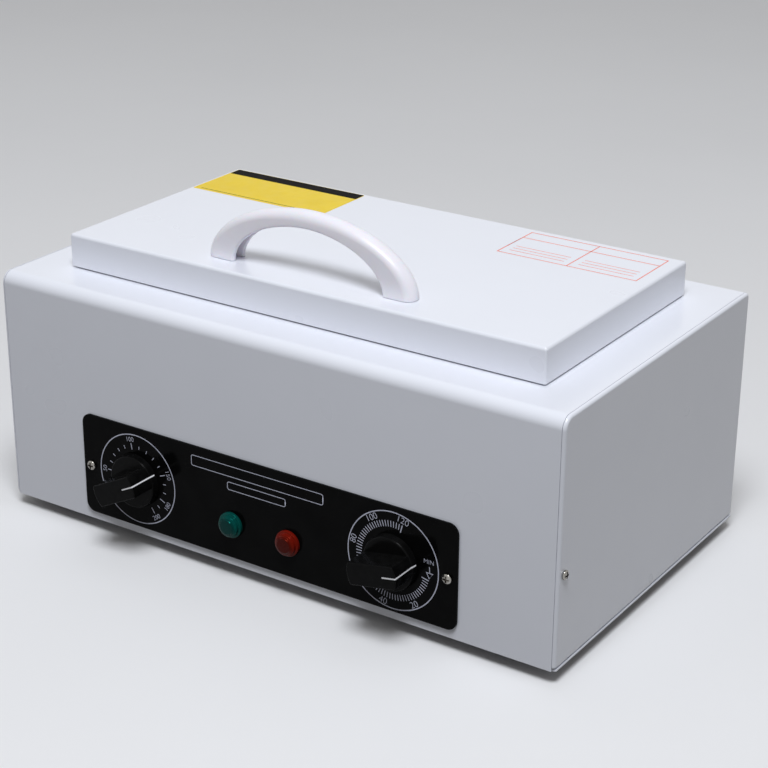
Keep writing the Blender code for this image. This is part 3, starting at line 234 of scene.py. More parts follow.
def lifted(points, plane, height):
    """Plane points in space: XY, XZ or YZ, at a height on the third axis."""
    if plane == 'XY':
        return [Vector((a, b, height)) for a, b in points]
    if plane == 'XZ':
        return [Vector((a, height, b)) for a, b in points]
    return [Vector((height, a, b)) for a, b in points]


def smooth_mesh(name, shape, angle=35):
    """A mesh from a bmesh, shaded smooth up to an angle in degrees."""
    made = bpy.data.meshes.new(name)
    bmesh.ops.recalc_face_normals(shape, faces=shape.faces)
    shape.to_mesh(made)
    shape.free()
    made.shade_smooth()
    made.set_sharp_from_angle(angle=math.radians(angle))
    return made


def slab(name, loop, plane, start, end):
    """A closed slab: a loop in a plane, pushed from one level on the third axis to another."""
    shape = bmesh.new()
    face = shape.faces.new([shape.verts.new(point) for point in lifted(loop, plane, start)])
    pushed = bmesh.ops.extrude_face_region(shape, geom=[face])["geom"]
    bmesh.ops.translate(shape, vec=[0 if axis in plane else end - start for axis in 'XYZ'],
                        verts=[item for item in pushed if isinstance(item, bmesh.types.BMVert)])
    return smooth_mesh(name, shape)


def solved(guide, name):
    """The mesh of a guide object after its modifiers; the guide itself goes."""
    made = bpy.data.meshes.new_from_object(guide.evaluated_get(bpy.context.evaluated_depsgraph_get()))
    made.name = name
    bpy.data.objects.remove(guide)
    return made


def worked(mesh, kind, **settings):
    """The mesh after one modifier."""
    guide = in_scene(mesh.name + "_guide", mesh)
    modifier = guide.modifiers.new(kind, kind)
    for label, value in settings.items():
        setattr(modifier, label, value)
    return solved(guide, mesh.name)


def cut(mesh, tool, operation='DIFFERENCE'):
    """The mesh with a tool mesh cut from it, or joined to it."""
    blade = in_scene("blade", tool)
    made = worked(mesh, 'BOOLEAN', object=blade, operation=operation, solver='EXACT')
    bpy.data.objects.remove(blade)
    return made


def edged(mesh, width, segments=3, angle=30):
    """The mesh with its sharp edges rounded."""
    return worked(mesh, 'BEVEL', width=width, segments=segments, limit_method='ANGLE',
                  angle_limit=math.radians(angle), miter_outer='MITER_ARC')


def settle(mesh, finish, body, slot, *nodes):
    """Put a finished mesh on its body, in place of the solids that it stands for."""
    mesh.shade_smooth()
    mesh.set_sharp_from_angle(angle=math.radians(33))
    mesh = worked(mesh, 'WEIGHTED_NORMAL', keep_sharp=True, weight=60)
    mesh.materials.clear()
    mesh.materials.append(finish)
    piece = in_scene(mesh.name, mesh)
    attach(piece, body)
    if nodes:
        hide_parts(*nodes)


def new_tree(name, **inputs):
    """A Geometry Nodes tree with a geometry in and out, and named inputs, listed by kind."""
    tree = bpy.data.node_groups.new(name, 'GeometryNodeTree')
    tree.interface.new_socket("Geometry", in_out='INPUT', socket_type='NodeSocketGeometry')
    tree.interface.new_socket("Geometry", in_out='OUTPUT', socket_type='NodeSocketGeometry')
    for kind, labels in inputs.items():
        for label in labels:
            tree.interface.new_socket(label, in_out='INPUT', socket_type='NodeSocket' + kind)
    return tree, tree.nodes.new("NodeGroupInput").outputs, tree.nodes.new("NodeGroupOutput").inputs[0]


def end_tree(tree, geometry, finish, out):
    """Make instances real, give all of it one finish, and end the tree there."""
    whole = add_node(tree, "GeometryNodeRealizeInstances", Geometry=geometry)[0]
    whole = add_node(tree, "GeometryNodeSetMaterial", Geometry=whole, Material=finish)[0]
    tree.links.new(whole, out)


def grown(mesh, tree, **values):
    """The plain mesh that a tree makes of a mesh, with its inputs set by socket identifier."""
    guide = in_scene(mesh.name + "_guide", mesh)
    modifier = guide.modifiers.new(tree.name, 'NODES')
    modifier.node_group = tree
    for item in tree.interface.items_tree:
        label = item.name.replace(" ", "_")
        if item.in_out == 'INPUT' and label in values:
            modifier[item.identifier] = values[label]
    bpy.context.view_layer.update()
    return solved(guide, mesh.name)


slot_tree, given, out = new_tree(
    "slot_rows", Int=("Columns", "Rows"), Float=("Column Pitch", "Row Pitch", "Length", "Width", "Depth"),
    Vector=("Centre", "Turn"), Material=("Finish",))


def spread(count, pitch):
    """The size of a grid side with this many points at this pitch."""
    return reckon(slot_tree, 'MULTIPLY', reckon(slot_tree, 'SUBTRACT', count, 1.0), pitch)


spots = add_node(slot_tree, "GeometryNodeMeshGrid", Size_X=spread(given["Columns"], given["Column Pitch"]),
                 Size_Y=spread(given["Rows"], given["Row Pitch"]), Vertices_X=given["Columns"],
                 Vertices_Y=given["Rows"])[0]
outline = add_node(slot_tree, "GeometryNodeCurvePrimitiveQuadrilateral", Width=given["Length"],
                   Height=given["Width"])[0]
half = reckon(slot_tree, 'MULTIPLY', given["Width"], 0.49)
outline = add_node(slot_tree, "GeometryNodeFilletCurve", Curve=outline, Radius=half, Count=8, mode='POLY')[0]
deep = add_node(slot_tree, "ShaderNodeCombineXYZ", Z=given["Depth"])[0]
low = add_node(slot_tree, "ShaderNodeVectorMath", deep, Scale=-0.5, operation='SCALE')[0]
high = add_node(slot_tree, "ShaderNodeVectorMath", deep, Scale=0.5, operation='SCALE')[0]
shaft = add_node(slot_tree, "GeometryNodeCurvePrimitiveLine", Start=low, End=high)[0]
punch = add_node(slot_tree, "GeometryNodeCurveToMesh", Curve=shaft, Profile_Curve=outline, Fill_Caps=True)[0]
punches = add_node(slot_tree, "GeometryNodeInstanceOnPoints", Points=spots, Instance=punch)[0]
punches = add_node(slot_tree, "GeometryNodeTransform", Geometry=punches, Translation=given["Centre"],
                   Rotation=given["Turn"])[0]
punches = add_node(slot_tree, "GeometryNodeRealizeInstances", Geometry=punches)[0]
punched = add_node(slot_tree, "GeometryNodeMeshBoolean", Mesh_1=given["Geometry"], Mesh_2=punches,
                   operation='DIFFERENCE', solver='EXACT')[0]
end_tree(slot_tree, punched, given["Finish"], out)

unturned = (0.0, 0.0, 0.0)
sheet, base_corner, base_edge = in_mm(1.0, 1.0, 0.25)
base_low, base_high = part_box("base_plate")
base_low.y += sheet + 0.15 * mm
base_loop = round_rect(base_low, base_high, base_corner)
base_mesh = edged(slab("base_plate_sheet", base_loop, 'XY', base_low.z, base_high.z), base_edge, 2)
slots_x, slots_y = 90 * mm, (base_low.y + base_high.y) / 2
for side in (-1, 1):
    base_mesh = grown(base_mesh, slot_tree, Columns=1, Rows=5, Column_Pitch=0.0, Row_Pitch=12 * mm,
                      Length=60 * mm, Width=4 * mm, Depth=6 * mm,
                      Centre=(side * slots_x, slots_y, base_low.z), Turn=unturned, Finish=white_paint)
settle(base_mesh, white_paint, "cabinet", "white_paint", "base_plate")


# Feet and their screws
# Four turned feet of moulded black rubber, slightly tapered, carry the cabinet. A zinc plated
# pan head screw sits sunk in each and bites into the base plate.
def eased(points, bends, steps=5):
    """A path with its inner corners rounded; a bend of 0 keeps the corner."""
    path = [Vector(points[0])]
    for before, corner, after, bend in zip(points, points[1:], points[2:], bends):
        here = Vector(corner)
        if bend == 0:
            path.append(here)
            continue
        back = (Vector(before) - here).normalized()
        ahead = (Vector(after) - here).normalized()
        half = back.angle(ahead) / 2
        centre = here + (back + ahead).normalized() * bend / math.sin(half)
        first = here + back * bend / math.tan(half) - centre
        last = here + ahead * bend / math.tan(half) - centre
        sweep = first.angle(last)
        for step in range(steps + 1):
            share = step / steps
            path.append(centre + (first * math.sin((1 - share) * sweep)
                                  + last * math.sin(share * sweep)) / math.sin(sweep))
    path.append(Vector(points[-1]))
    return path


def turned(name, profile, steps=64, angle=30):
    """A turned mesh about +Z from (radius, height) points that start and end on the axis, or close."""
    shape = bmesh.new()
    line = [shape.verts.new((radius, 0, height)) for radius, height in profile]
    edges = [shape.edges.new(pair) for pair in zip(line, line[1:])]
    bmesh.ops.spin(shape, geom=line + edges, cent=(0, 0, 0), axis=(0, 0, 1),
                   angle=2 * math.pi, steps=steps, use_merge=True)
    bmesh.ops.remove_doubles(shape, verts=shape.verts, dist=0.001 * mm)
    return smooth_mesh(name, shape, angle)


def rod(radius, start, end, sides=32):
    """A closed cylinder between two points."""
    start, end = Vector(start), Vector(end)
    shape = bmesh.new()
    turn = (end - start).to_track_quat('Z', 'Y').to_matrix().to_4x4()
    bmesh.ops.create_cone(shape, cap_ends=True, segments=sides, radius1=radius, radius2=radius,
                          depth=(end - start).length, matrix=Matrix.Translation((start + end) / 2) @ turn)
    return smooth_mesh("rod", shape)


def block(low, high):
    """A closed box between two corners."""
    loop = [(low[0], low[1]), (high[0], low[1]), (high[0], high[1]), (low[0], high[1])]
    return slab("block", loop, 'XY', low[2], high[2])


copy_tree, given, out = new_tree("copies_on_points", Object=("Piece",), Vector=("Turn",),
                                 Material=("Finish",))
master = add_node(copy_tree, "GeometryNodeObjectInfo", Object=given["Piece"])["Geometry"]
way = add_node(copy_tree, "FunctionNodeEulerToRotation", given["Turn"])[0]
put = add_node(copy_tree, "GeometryNodeInstanceOnPoints", Points=given["Geometry"], Instance=master,
               Rotation=way)[0]
end_tree(copy_tree, put, given["Finish"], out)


def copies(name, master, places, turn, finish):
    """One mesh with a copy of a master mesh at each place, all turned alike."""
    holder = in_scene(name + "_master", master)
    points = bpy.data.meshes.new(name)
    points.from_pydata([tuple(place) for place in places], [], [])
    made = grown(points, copy_tree, Piece=holder, Turn=turn, Finish=finish)
    bpy.data.objects.remove(holder)
    return made


def pan_screw(head, height, shank, length, drive=0.3):
    """A pan head screw along +Z with a cross recess; its head's seat is at the origin."""
    crown = [(head * math.sin(a), height * (0.35 + 0.65 * math.cos(a)))
             for a in [quarter * step / 9 for step in range(10)]]
    profile = crown + [(head, 0.12 * height), (0.97 * head, 0), (shank, 0), (shank, 0.2 * shank - length),
                       (0.75 * shank, -length), (0, -length)]
    made = turned("screw", profile, 40)
    bar, reach = drive * head / 2, 0.7 * head
    for wide, deep in ((reach, bar), (bar, reach)):
        made = cut(made, block((-wide, -deep, 0.05 * height), (wide, deep, 2 * height)))
    return made


rubber = new_finish("black_rubber", (0.018, 0.018, 0.019), 0.72, Specular_IOR_Level=0.35)
tint(rubber, (0.004, 4.0), (0.014, 0.014, 0.015), (0.024, 0.024, 0.025))
emboss(rubber, (0.0006, 3.0), 0.0001, 0.4)
zinc = new_finish("zinc_plate", (0.52, 0.53, 0.54), 0.42, 1.0)
tint(zinc, (0.006, 5.0), (0.42, 0.43, 0.45), (0.6, 0.61, 0.6))
vary_gloss(zinc, (0.003, 3.0), 0.32, 0.52)
emboss(zinc, (0.0008, 2.0), 0.00003, 0.5)


def middle_of(name):
    """The middle of a solid's box."""
    low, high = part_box(name)
    return (low + high) / 2


clear = 0.3 * mm
facing_down = (math.pi, 0.0, 0.0)
corner_names = ("front_left", "front_right", "rear_left", "rear_right")
foot_middles = [middle_of("foot_" + corner) for corner in corner_names]
foot_tall, bore, well, well_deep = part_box("foot_front_left")[1].z, 2.3 * mm, 4.3 * mm, 3.6 * mm
foot_profile = eased([(bore, foot_tall), (9.5 * mm, foot_tall), (8.5 * mm, 0), (well, 0), (well, well_deep),
                      (bore, well_deep), (bore, foot_tall)], in_mm(0.5, 0.7, 0.3, 0, 0))
foot_mesh = copies("rubber_feet", turned("foot", foot_profile, 72),
                   [(middle.x, middle.y, 0.0) for middle in foot_middles], unturned, rubber)
settle(foot_mesh, rubber, "cabinet", "black_rubber", *["foot_" + corner for corner in corner_names])
foot_screws = copies("foot_screws", pan_screw(head=3.7 * mm, height=2.2 * mm, shank=2 * mm, length=9.7 * mm),
                     [(middle.x, middle.y, well_deep - clear) for middle in foot_middles], facing_down, zinc)
settle(foot_screws, zinc, "cabinet", "zinc_steel", *["foot_screw_" + corner for corner in corner_names])


# Folded sheet: front, top and back
# One painted 1 mm steel sheet hangs over the base plate's front edge, is folded over the cabinet
# and turns in under the back. The front bend is broad, the rear one tight. It is punched for the
# tub, the controls, the inlet and the air, and a tab welded in each end takes the side screw.
wrap_low, wrap_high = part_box("wrap_cover")
flange, seam, rear_flange = in_mm(1.9, 0.3, 13)


def folded_path(inset):
    """The line of the folded sheet from its front edge to its rear flange, moved in by an inset."""
    front, back = wrap_low.y + inset, wrap_high.y - inset
    floor, top = wrap_low.z + inset, wrap_high.z - inset
    inner_end = wrap_high.y - rear_flange
    corners = [(front, base_low.z), (front, top), (back, top), (back, floor), (inner_end, floor)]
    return eased(corners, [bend - inset for bend in in_mm(7, 3, 1.6)], 12)


wrap_loop = folded_path(0) + folded_path(sheet)[::-1]
wrap_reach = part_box("side_panel_right")[1].x - flange - seam
wrap = edged(slab("folded_sheet", wrap_loop, 'YZ', -wrap_reach, wrap_reach), 0.18 * mm, 2, 60)
side_screw = middle_of("side_screw_right")
tab_wall, tab_face, tab_half = 1.2 * mm, wrap_high.x, 10 * mm
for side in (-1, 1):
    inside, seat_y = wrap_low.y + sheet / 2, wrap_low.y + sheet + clear
    step_x, foot_x = tab_face - 2.7 * mm, tab_face - 7.7 * mm
    corners = [(foot_x, inside), (step_x, inside), (step_x, seat_y), (tab_face - 0.7 * mm, seat_y),
               (tab_face, seat_y + 0.9 * mm), (tab_face, seat_y + 12 * mm),
               (tab_face - tab_wall, seat_y + 12 * mm), (tab_face - tab_wall, seat_y + tab_wall),
               (foot_x, seat_y + tab_wall)]
    loop = [(side * x, y) for x, y in corners]
    wrap = cut(wrap, slab("tab", loop, 'XY', side_screw.z - tab_half, side_screw.z + tab_half), 'UNION')


def side_hole(side):
    """A rod through a tab and a side panel, for the hole of a side screw."""
    return rod(1.8 * mm, (side * (tab_face - 5.7 * mm), side_screw.y, side_screw.z),
               (side * (tab_face + 4.3 * mm), side_screw.y, side_screw.z))


tub_low, tub_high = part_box("chamber_tub")
tub_rim, tub_corner = in_mm(11, 14)
loop = round_rect((tub_low.x + tub_rim - clear, tub_low.y + tub_rim - clear),
                  (tub_high.x - tub_rim + clear, tub_high.y - tub_rim + clear), tub_corner)
wrap = cut(wrap, slab("tub_opening", loop, 'XY', wrap_high.z - 5 * mm, wrap_high.z + 5 * mm))
dial, lamp, panel_screw = middle_of("timer_knob"), middle_of("lamp_lens_red"), middle_of("panel_screw_right")
front_holes = [(side * centre.x, centre.z, radius) for centre, radius in
               ((dial, 5.3 * mm), (lamp, 5.1 * mm), (panel_screw, 1.8 * mm)) for side in (-1, 1)]
for x, z, radius in front_holes:
    wrap = cut(wrap, rod(radius, (x, wrap_low.y - 3 * mm, z), (x, wrap_low.y + 4 * mm, z)))
inlet_x, inlet_z = middle_of("power_inlet").xz
barrel_wide, barrel_tall, inlet_screw_x = in_mm(27, 20, 20)
reach_x, reach_z = barrel_wide / 2 + clear, barrel_tall / 2 + clear
loop = round_rect((inlet_x - reach_x, inlet_z - reach_z), (inlet_x + reach_x, inlet_z + reach_z), 2.5 * mm)
wrap = cut(wrap, slab("inlet_opening", loop, 'XZ', wrap_high.y - 4 * mm, wrap_high.y + 4 * mm))
for side in (-1, 1):
    x = inlet_x + side * inlet_screw_x
    wrap = cut(wrap, rod(1.8 * mm, (x, wrap_high.y - 4 * mm, inlet_z), (x, wrap_high.y + 4 * mm, inlet_z)))
    wrap = cut(wrap, side_hole(side))
air_slots_z = 115.3 * mm
wrap = grown(wrap, slot_tree, Columns=7, Rows=2, Column_Pitch=36 * mm, Row_Pitch=9 * mm, Length=26 * mm,
             Width=3 * mm, Depth=6 * mm, Centre=(0.0, wrap_high.y, air_slots_z), Turn=(quarter, 0.0, 0.0),
             Finish=white_paint)
settle(wrap, white_paint, "cabinet", "white_paint", "wrap_cover")


# Side panels
# Each end of the cabinet is a shallow steel pan with a rolled edge, which meets the folded sheet
# in a thin dark seam. One small chrome screw near the front holds it.
def beside(path, distance):
    """The same path moved sideways, with its corners kept at the full distance."""
    moved = []
    for number, here in enumerate(path):
        before = (here - path[number - 1]).normalized() if number else None
        after = (path[number + 1] - here).normalized() if number + 1 < len(path) else before
        before = before or after
        bisector = (before + after).normalized()
        share = max(bisector.dot(after), 0.3)
        moved.append(here + Vector((-bisector.y, bisector.x)) * distance / share)
    return moved


def skinned(name, rings, closed=False, angle=35):
    """A mesh over rings of as many points each; open rows of rings get a face at each end."""
    shape = bmesh.new()
    rows = [[shape.verts.new(point) for point in ring] for ring in rings]
    for lower, upper in zip(rows, rows[1:] + rows[:1] if closed else rows[1:]):
        for a, b, c, d in zip(lower, lower[1:] + lower[:1], upper[1:] + upper[:1], upper):
            shape.faces.new((a, b, c, d))
    if not closed:
        shape.faces.new(rows[0])
        shape.faces.new(rows[-1])
    return smooth_mesh(name, shape, angle)


def pressed(name, outline, path, wall):
    """A pressed pan: an outline function follows (inset, lift) points from its floor to its rim."""
    sides = list(path) + beside(path, wall)[::-1]
    return skinned(name, [outline(point.x, point.y) for point in sides])


def pan_outline(low, high, bends, plane, level, way=1):
    """The outline function of a pan: an inset and a lift from its level give one loop."""
    def outline(inset, lift):
        loop = round_rect((low[0] + inset, low[1] + inset), (high[0] - inset, high[1] - inset),
                          [max(bend - inset, 0.3 * mm) for bend in bends])
        return lifted(loop, plane, level + way * lift)
    return outline


chrome = new_finish("chrome_plate", (0.30, 0.285, 0.26), 0.1, 1.0)
tint(chrome, (0.0015, 3.0), (0.25, 0.235, 0.21), (0.36, 0.345, 0.32))
vary_gloss(chrome, (0.001, 4.0), 0.06, 0.2)
emboss(chrome, (0.0005, 2.0), 0.00001, 0.4)

for side, where in ((-1, "left"), (1, "right")):
    low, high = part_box("side_panel_" + where)
    outer_x = high.x if side > 0 else low.x
    outline = pan_outline(low.yz, high.yz, in_mm(3, 7, 1.6, 1.6), 'YZ', outer_x, -side)
    path = eased([(6 * mm, 0), (0, 0), (0, flange)], [1.8 * mm], 10)
    panel = cut(pressed("side_panel_sheet_" + where, outline, path, -sheet), side_hole(side))
    settle(panel, white_paint, "cabinet", "white_paint", "side_panel_" + where)
    screw = pan_screw(head=2.7 * mm, height=1.7 * mm, shank=1.5 * mm, length=6.8 * mm, drive=0.32)
    seat = (outer_x + side * clear, side_screw.y, side_screw.z)
    screw = copies("side_screw_chrome_" + where, screw, [seat], (0.0, side * quarter, 0.0), chrome)
    settle(screw, chrome, "cabinet", "chrome_screw", "side_screw_" + where)


# Control panel
# A plate of glossy black plastic, 1.2 mm thick with round corners, lies on the front sheet. Two
# chrome Phillips screws hold its ends.
gloss_black = new_finish("gloss_black_panel", (0.003, 0.003, 0.003), 0.1, Specular_IOR_Level=0.03)
tint(gloss_black, (0.02, 5.0), (0.002, 0.002, 0.002), (0.004, 0.004, 0.004))
vary_gloss(gloss_black, (0.01, 6.0), 0.08, 0.16)
emboss(gloss_black, (0.012, 1.0), 0.00002, 0.3)

panel_low, panel_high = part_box("control_panel")
panel_front, panel_corner = panel_low.y, 6 * mm
loop = round_rect((panel_low.x, panel_low.z), (panel_high.x, panel_high.z), panel_corner, 12)
panel_mesh = slab("glossy_panel", loop, 'XZ', panel_front, panel_high.y)
for x, z, radius in front_holes:
    panel_mesh = cut(panel_mesh, rod(radius, (x, panel_front - 3 * mm, z), (x, panel_front + 4 * mm, z), 48))
settle(edged(panel_mesh, 0.25 * mm), gloss_black, "cabinet", "panel_gloss", "control_panel")
screw = pan_screw(head=2.9 * mm, height=1.9 * mm, shank=1.5 * mm, length=7.8 * mm, drive=0.4)
seats = [(side * panel_screw.x, panel_front - clear, panel_screw.z) for side in (-1, 1)]
panel_screws = copies("panel_screws_chrome", screw, seats, (quarter, 0.0, 0.0), chrome)
settle(panel_screws, chrome, "cabinet", "chrome_screw", "panel_screw_left", "panel_screw_right")


# Printed scales
# Thin lavender grey ink on the panel: a temperature scale on the left, minutes on the right,
# each inside a ring, and two plain outlined fields between them.
ink = new_finish("lavender_grey_ink", (0.62, 0.64, 0.76), 0.5)
tint(ink, (0.003, 4.0), (0.56, 0.58, 0.70), (0.66, 0.68, 0.80))
vary_gloss(ink, (0.002, 4.0), 0.4, 0.6)
print_lift, print_wall = in_mm(0.03, 0.06)

tick_tree, given, out = new_tree(
    "tick_ring", Int=("Count", "Every"), Vector=("Centre",), Material=("Finish",),
    Float=("First", "Step", "Inner", "Outer", "Long Inner", "Long Outer", "Width", "Long Width", "Depth"))
number = add_node(tick_tree, "GeometryNodeInputIndex")[0]
angle = reckon(tick_tree, 'MULTIPLY_ADD', number, given["Step"], given["First"])
lean = add_node(tick_tree, "ShaderNodeCombineXYZ", Y=reckon(tick_tree, 'MULTIPLY', angle, -1.0))[0]
rest = reckon(tick_tree, 'MODULO', number, given["Every"])
is_long = add_node(tick_tree, "FunctionNodeCompare", rest, 0.5, operation='LESS_THAN')[0]
is_short = add_node(tick_tree, "FunctionNodeBooleanMath", is_long, operation='NOT')[0]
marks = add_node(tick_tree, "GeometryNodeMeshLine", Count=given["Count"], Offset=unturned)[0]
rings = []
for inner, outer, width, chosen in (("Inner", "Outer", "Width", is_short),
                                    ("Long Inner", "Long Outer", "Long Width", is_long)):
    reach = reckon(tick_tree, 'SUBTRACT', given[outer], given[inner])
    middle = reckon(tick_tree, 'MULTIPLY', reckon(tick_tree, 'ADD', given[outer], given[inner]), 0.5)
    size = add_node(tick_tree, "ShaderNodeCombineXYZ", X=reach, Y=given["Depth"], Z=given[width])[0]
    tick = add_node(tick_tree, "GeometryNodeMeshCube", Size=size)[0]
    shift = add_node(tick_tree, "ShaderNodeCombineXYZ", X=middle)[0]
    tick = add_node(tick_tree, "GeometryNodeTransform", Geometry=tick, Translation=shift)[0]
    rings.append(add_node(tick_tree, "GeometryNodeInstanceOnPoints", Points=marks, Selection=chosen,
                          Instance=tick, Rotation=lean)[0])
both = tick_tree.nodes.new("GeometryNodeJoinGeometry")
for ring in rings:
    tick_tree.links.new(ring, both.inputs[0])
both = add_node(tick_tree, "GeometryNodeTransform", Geometry=both.outputs[0], Translation=given["Centre"])[0]
end_tree(tick_tree, both, given["Finish"], out)


def merged(name, meshes):
    """One mesh from several."""
    shape = bmesh.new()
    for mesh in meshes:
        shape.from_mesh(mesh)
    return smooth_mesh(name, shape)


def on_panel(mesh, x, z, turn=0.0):
    """Stand a flat print, drawn in XY with its face up, on the panel, turned about its own middle."""
    place = Matrix.Translation((x, panel_front - print_lift, z))
    mesh.transform(place @ Matrix.Rotation(-turn, 4, 'Y') @ Matrix.Rotation(quarter, 4, 'X'))
    return mesh


def stroke(points, width, closed=False):
    """A flat line of ink along points in XY; its face looks up."""
    path = [Vector(point) for point in points]
    if closed:
        path = [(path[0] + path[-1]) / 2] + path + [(path[0] + path[-1]) / 2]
    sides = beside(path, width / 2), beside(path, -width / 2)
    shape = bmesh.new()
    rows = [[shape.verts.new((p.x, p.y, level)) for p in side]
            for side in sides for level in (0, -print_wall)]
    order = (rows[0], rows[2], rows[3], rows[1])
    for a, b in zip(order, order[1:] + order[:1]):
        for first, second in zip(range(len(path)), range(1, len(path))):
            shape.faces.new((a[first], a[second], b[second], b[first]))
    for end in (0, -1):
        shape.faces.new([row[end] for row in order])
    bmesh.ops.remove_doubles(shape, verts=shape.verts, dist=0.001 * mm)
    return smooth_mesh("stroke", shape)


def figures(text, height):
    """Figures of a given height as a thin flat mesh in XY, centred on the origin."""
    half_wall, thinner = 0.05, 0.016
    curve = bpy.data.curves.new("figures", 'FONT')
    curve.body = text
    curve.extrude = half_wall
    curve.offset = -thinner
    curve.resolution_u = 6
    made = solved(in_scene("figures", curve), "figures")
    shape = bmesh.new()
    shape.from_mesh(made)
    bmesh.ops.remove_doubles(shape, verts=shape.verts, dist=0.0001)
    across = [vert.co.x for vert in shape.verts]
    along = [vert.co.y for vert in shape.verts]
    grow = height / (max(along) - min(along))
    middle = Vector(((min(across) + max(across)) / 2, (min(along) + max(along)) / 2, 0))
    bmesh.ops.translate(shape, vec=-middle, verts=shape.verts)
    bmesh.ops.scale(shape, vec=(grow, grow, print_wall / (2 * half_wall)), verts=shape.verts)
    return smooth_mesh("figures", shape)


def scale_marks(name, x, first, step, count, every, **sizes):
    """One run of ticks round a dial, counted clockwise; angles are in degrees."""
    start = bpy.data.meshes.new(name)
    centre = (x, panel_front - print_lift + print_wall / 2, dial.z)
    return grown(start, tick_tree, Count=count, First=math.radians(first), Step=-math.radians(step),
                 Every=every, Depth=print_wall, Centre=centre, Finish=ink, **sizes)


def round_dial(name, x, radius, labels, label_radius, label_height, marks):
    """A dial: its ring, ticks and figures; labels are (text, angle in degrees)."""
    width = 0.3 * mm
    ring = turned("ring", [(radius - width, 0), (radius + width, 0), (radius + width, -print_wall),
                           (radius - width, -print_wall), (radius - width, 0)], 180)
    meshes = [on_panel(ring, x, dial.z)] + marks
    for text, degrees in labels:
        angle = math.radians(degrees)
        turn = angle - quarter if math.sin(angle) > 0 else angle + quarter
        meshes.append(on_panel(figures(text, label_height), x + label_radius * math.cos(angle),
                               dial.z + label_radius * math.sin(angle), turn))
    settle(merged(name, meshes), ink, "cabinet", None)


sizes = {"Inner": 19 * mm, "Outer": 21 * mm, "Long_Inner": 18.1 * mm, "Long_Outer": 21.9 * mm,
         "Width": 0.42 * mm, "Long_Width": 0.5 * mm}
first, step, warm = 178.5, 15.75, 13
marks = [scale_marks("warm_ticks", -dial.x, first, step, warm, 5, **sizes),
         scale_marks("hot_ticks", -dial.x, first - warm * step, step, 3, 2, **sizes)]
labels = (("50", 178.5), ("100", 99.9), ("150", 19.4), ("180", -27.5), ("200", -57.8))
round_dial("temperature_scale", -dial.x, 27.3 * mm, labels, label_radius=24.3 * mm, label_height=2.7 * mm,
           marks=marks)

sizes = {"Inner": 19.6 * mm, "Outer": 23.1 * mm, "Long_Inner": 18.6 * mm, "Long_Outer": 23.1 * mm,
         "Width": 0.45 * mm, "Long_Width": 0.6 * mm}
marks = [scale_marks("minute_ticks", dial.x, first=-12.7, step=4.53, count=61, every=60, **sizes)]
arrow_radius, arrow_half, arrow_line = in_mm(23, 1.9, 0.45)
low, high = math.radians(-9.2), math.radians(-1.3)
tip = Vector((math.cos(low), math.sin(low))) * arrow_radius
ends = [Vector((math.cos(high), math.sin(high))) * (arrow_radius + side * arrow_half) for side in (-1, 1)]
marks.append(on_panel(stroke([tip] + ends, arrow_line, True), dial.x, dial.z))
stem = arc((0, 0), arrow_radius, high, math.radians(9.3), 6)
marks.append(on_panel(stroke(stem, arrow_line), dial.x, dial.z))
marks.append(on_panel(figures("MIN", 2.4 * mm), dial.x + 22.4 * mm, dial.z + 6.0 * mm))
labels = (("20", -58.0), ("40", -103.3), ("60", -148.6), ("80", 166.1), ("100", 120.8), ("120", 75.5))
round_dial("minute_scale", dial.x, 28.4 * mm, labels, label_radius=25.8 * mm, label_height=3.6 * mm,
           marks=marks)

fields = []
for low_x, low_z, high_x, high_z in ((-47, 63.3, 42.5, 69.6), (-22, 55.2, 17.5, 59.8)):
    loop = round_rect((low_x * mm, low_z * mm), (high_x * mm, high_z * mm), 1.2 * mm)
    fields.append(on_panel(stroke(loop, 0.4 * mm, True), 0, 0))
settle(merged("outlined_fields", fields), ink, "cabinet", None)


# Knobs and their shafts
# Two moulded black knobs, each with a thin skirt, a straight grip bar across it and one white
# pointer line let into the bar and the skirt. They are pressed on round steel shafts.
black_plastic = new_finish("black_moulded_plastic", (0.004, 0.004, 0.004), 0.2, Specular_IOR_Level=0.05)
tint(black_plastic, (0.005, 4.0), (0.003, 0.003, 0.003), (0.005, 0.005, 0.005))
vary_gloss(black_plastic, (0.004, 2.0), 0.15, 0.22)
emboss(black_plastic, (0.0006, 1.0), 0.000008, 0.3)
white_line = new_finish("white_filled_line", (0.90, 0.90, 0.93), 0.45)
tint(white_line, (0.002, 4.0), (0.87, 0.87, 0.90), (0.92, 0.92, 0.95))
steel = new_finish("plain_steel", (0.6, 0.6, 0.61), 0.28, 1.0)
tint(steel, (0.008, 4.0), (0.54, 0.545, 0.56), (0.65, 0.65, 0.655))
vary_gloss(steel, (0.004, 5.0), 0.2, 0.36)
emboss(steel, (0.001, 3.0, (1, 1, 12)), 0.00001, 0.5)

skirt_radius, skirt_tall, shaft_radius = in_mm(16.2, 4.6, 3)
grip_radius, grip_half, grip_low, grip_high, grip_edge = in_mm(15.4, 6.4, 3.6, 19.94, 0.55)


def knob(name):
    """A knob along +Z with its grip bar along X, its seat at the origin."""
    skirt = eased([(0, skirt_tall), (skirt_radius - 0.7 * mm, skirt_tall), (skirt_radius, 0), (0, 0)],
                  (0.9 * mm, 0.4 * mm), 6)
    made = turned(name, skirt, 128)
    half = math.asin(grip_half / grip_radius)
    grip = arc((0, 0), grip_radius, -half, 2 * half, 20)
    grip += arc((0, 0), grip_radius, math.pi - half, 2 * half, 20)
    made = cut(made, edged(slab("bar", grip, 'XY', grip_low, grip_high), grip_edge, 4), 'UNION')
    return cut(made, rod(shaft_radius + 0.2 * mm, (0, 0, -2 * mm), (0, 0, 12 * mm)))


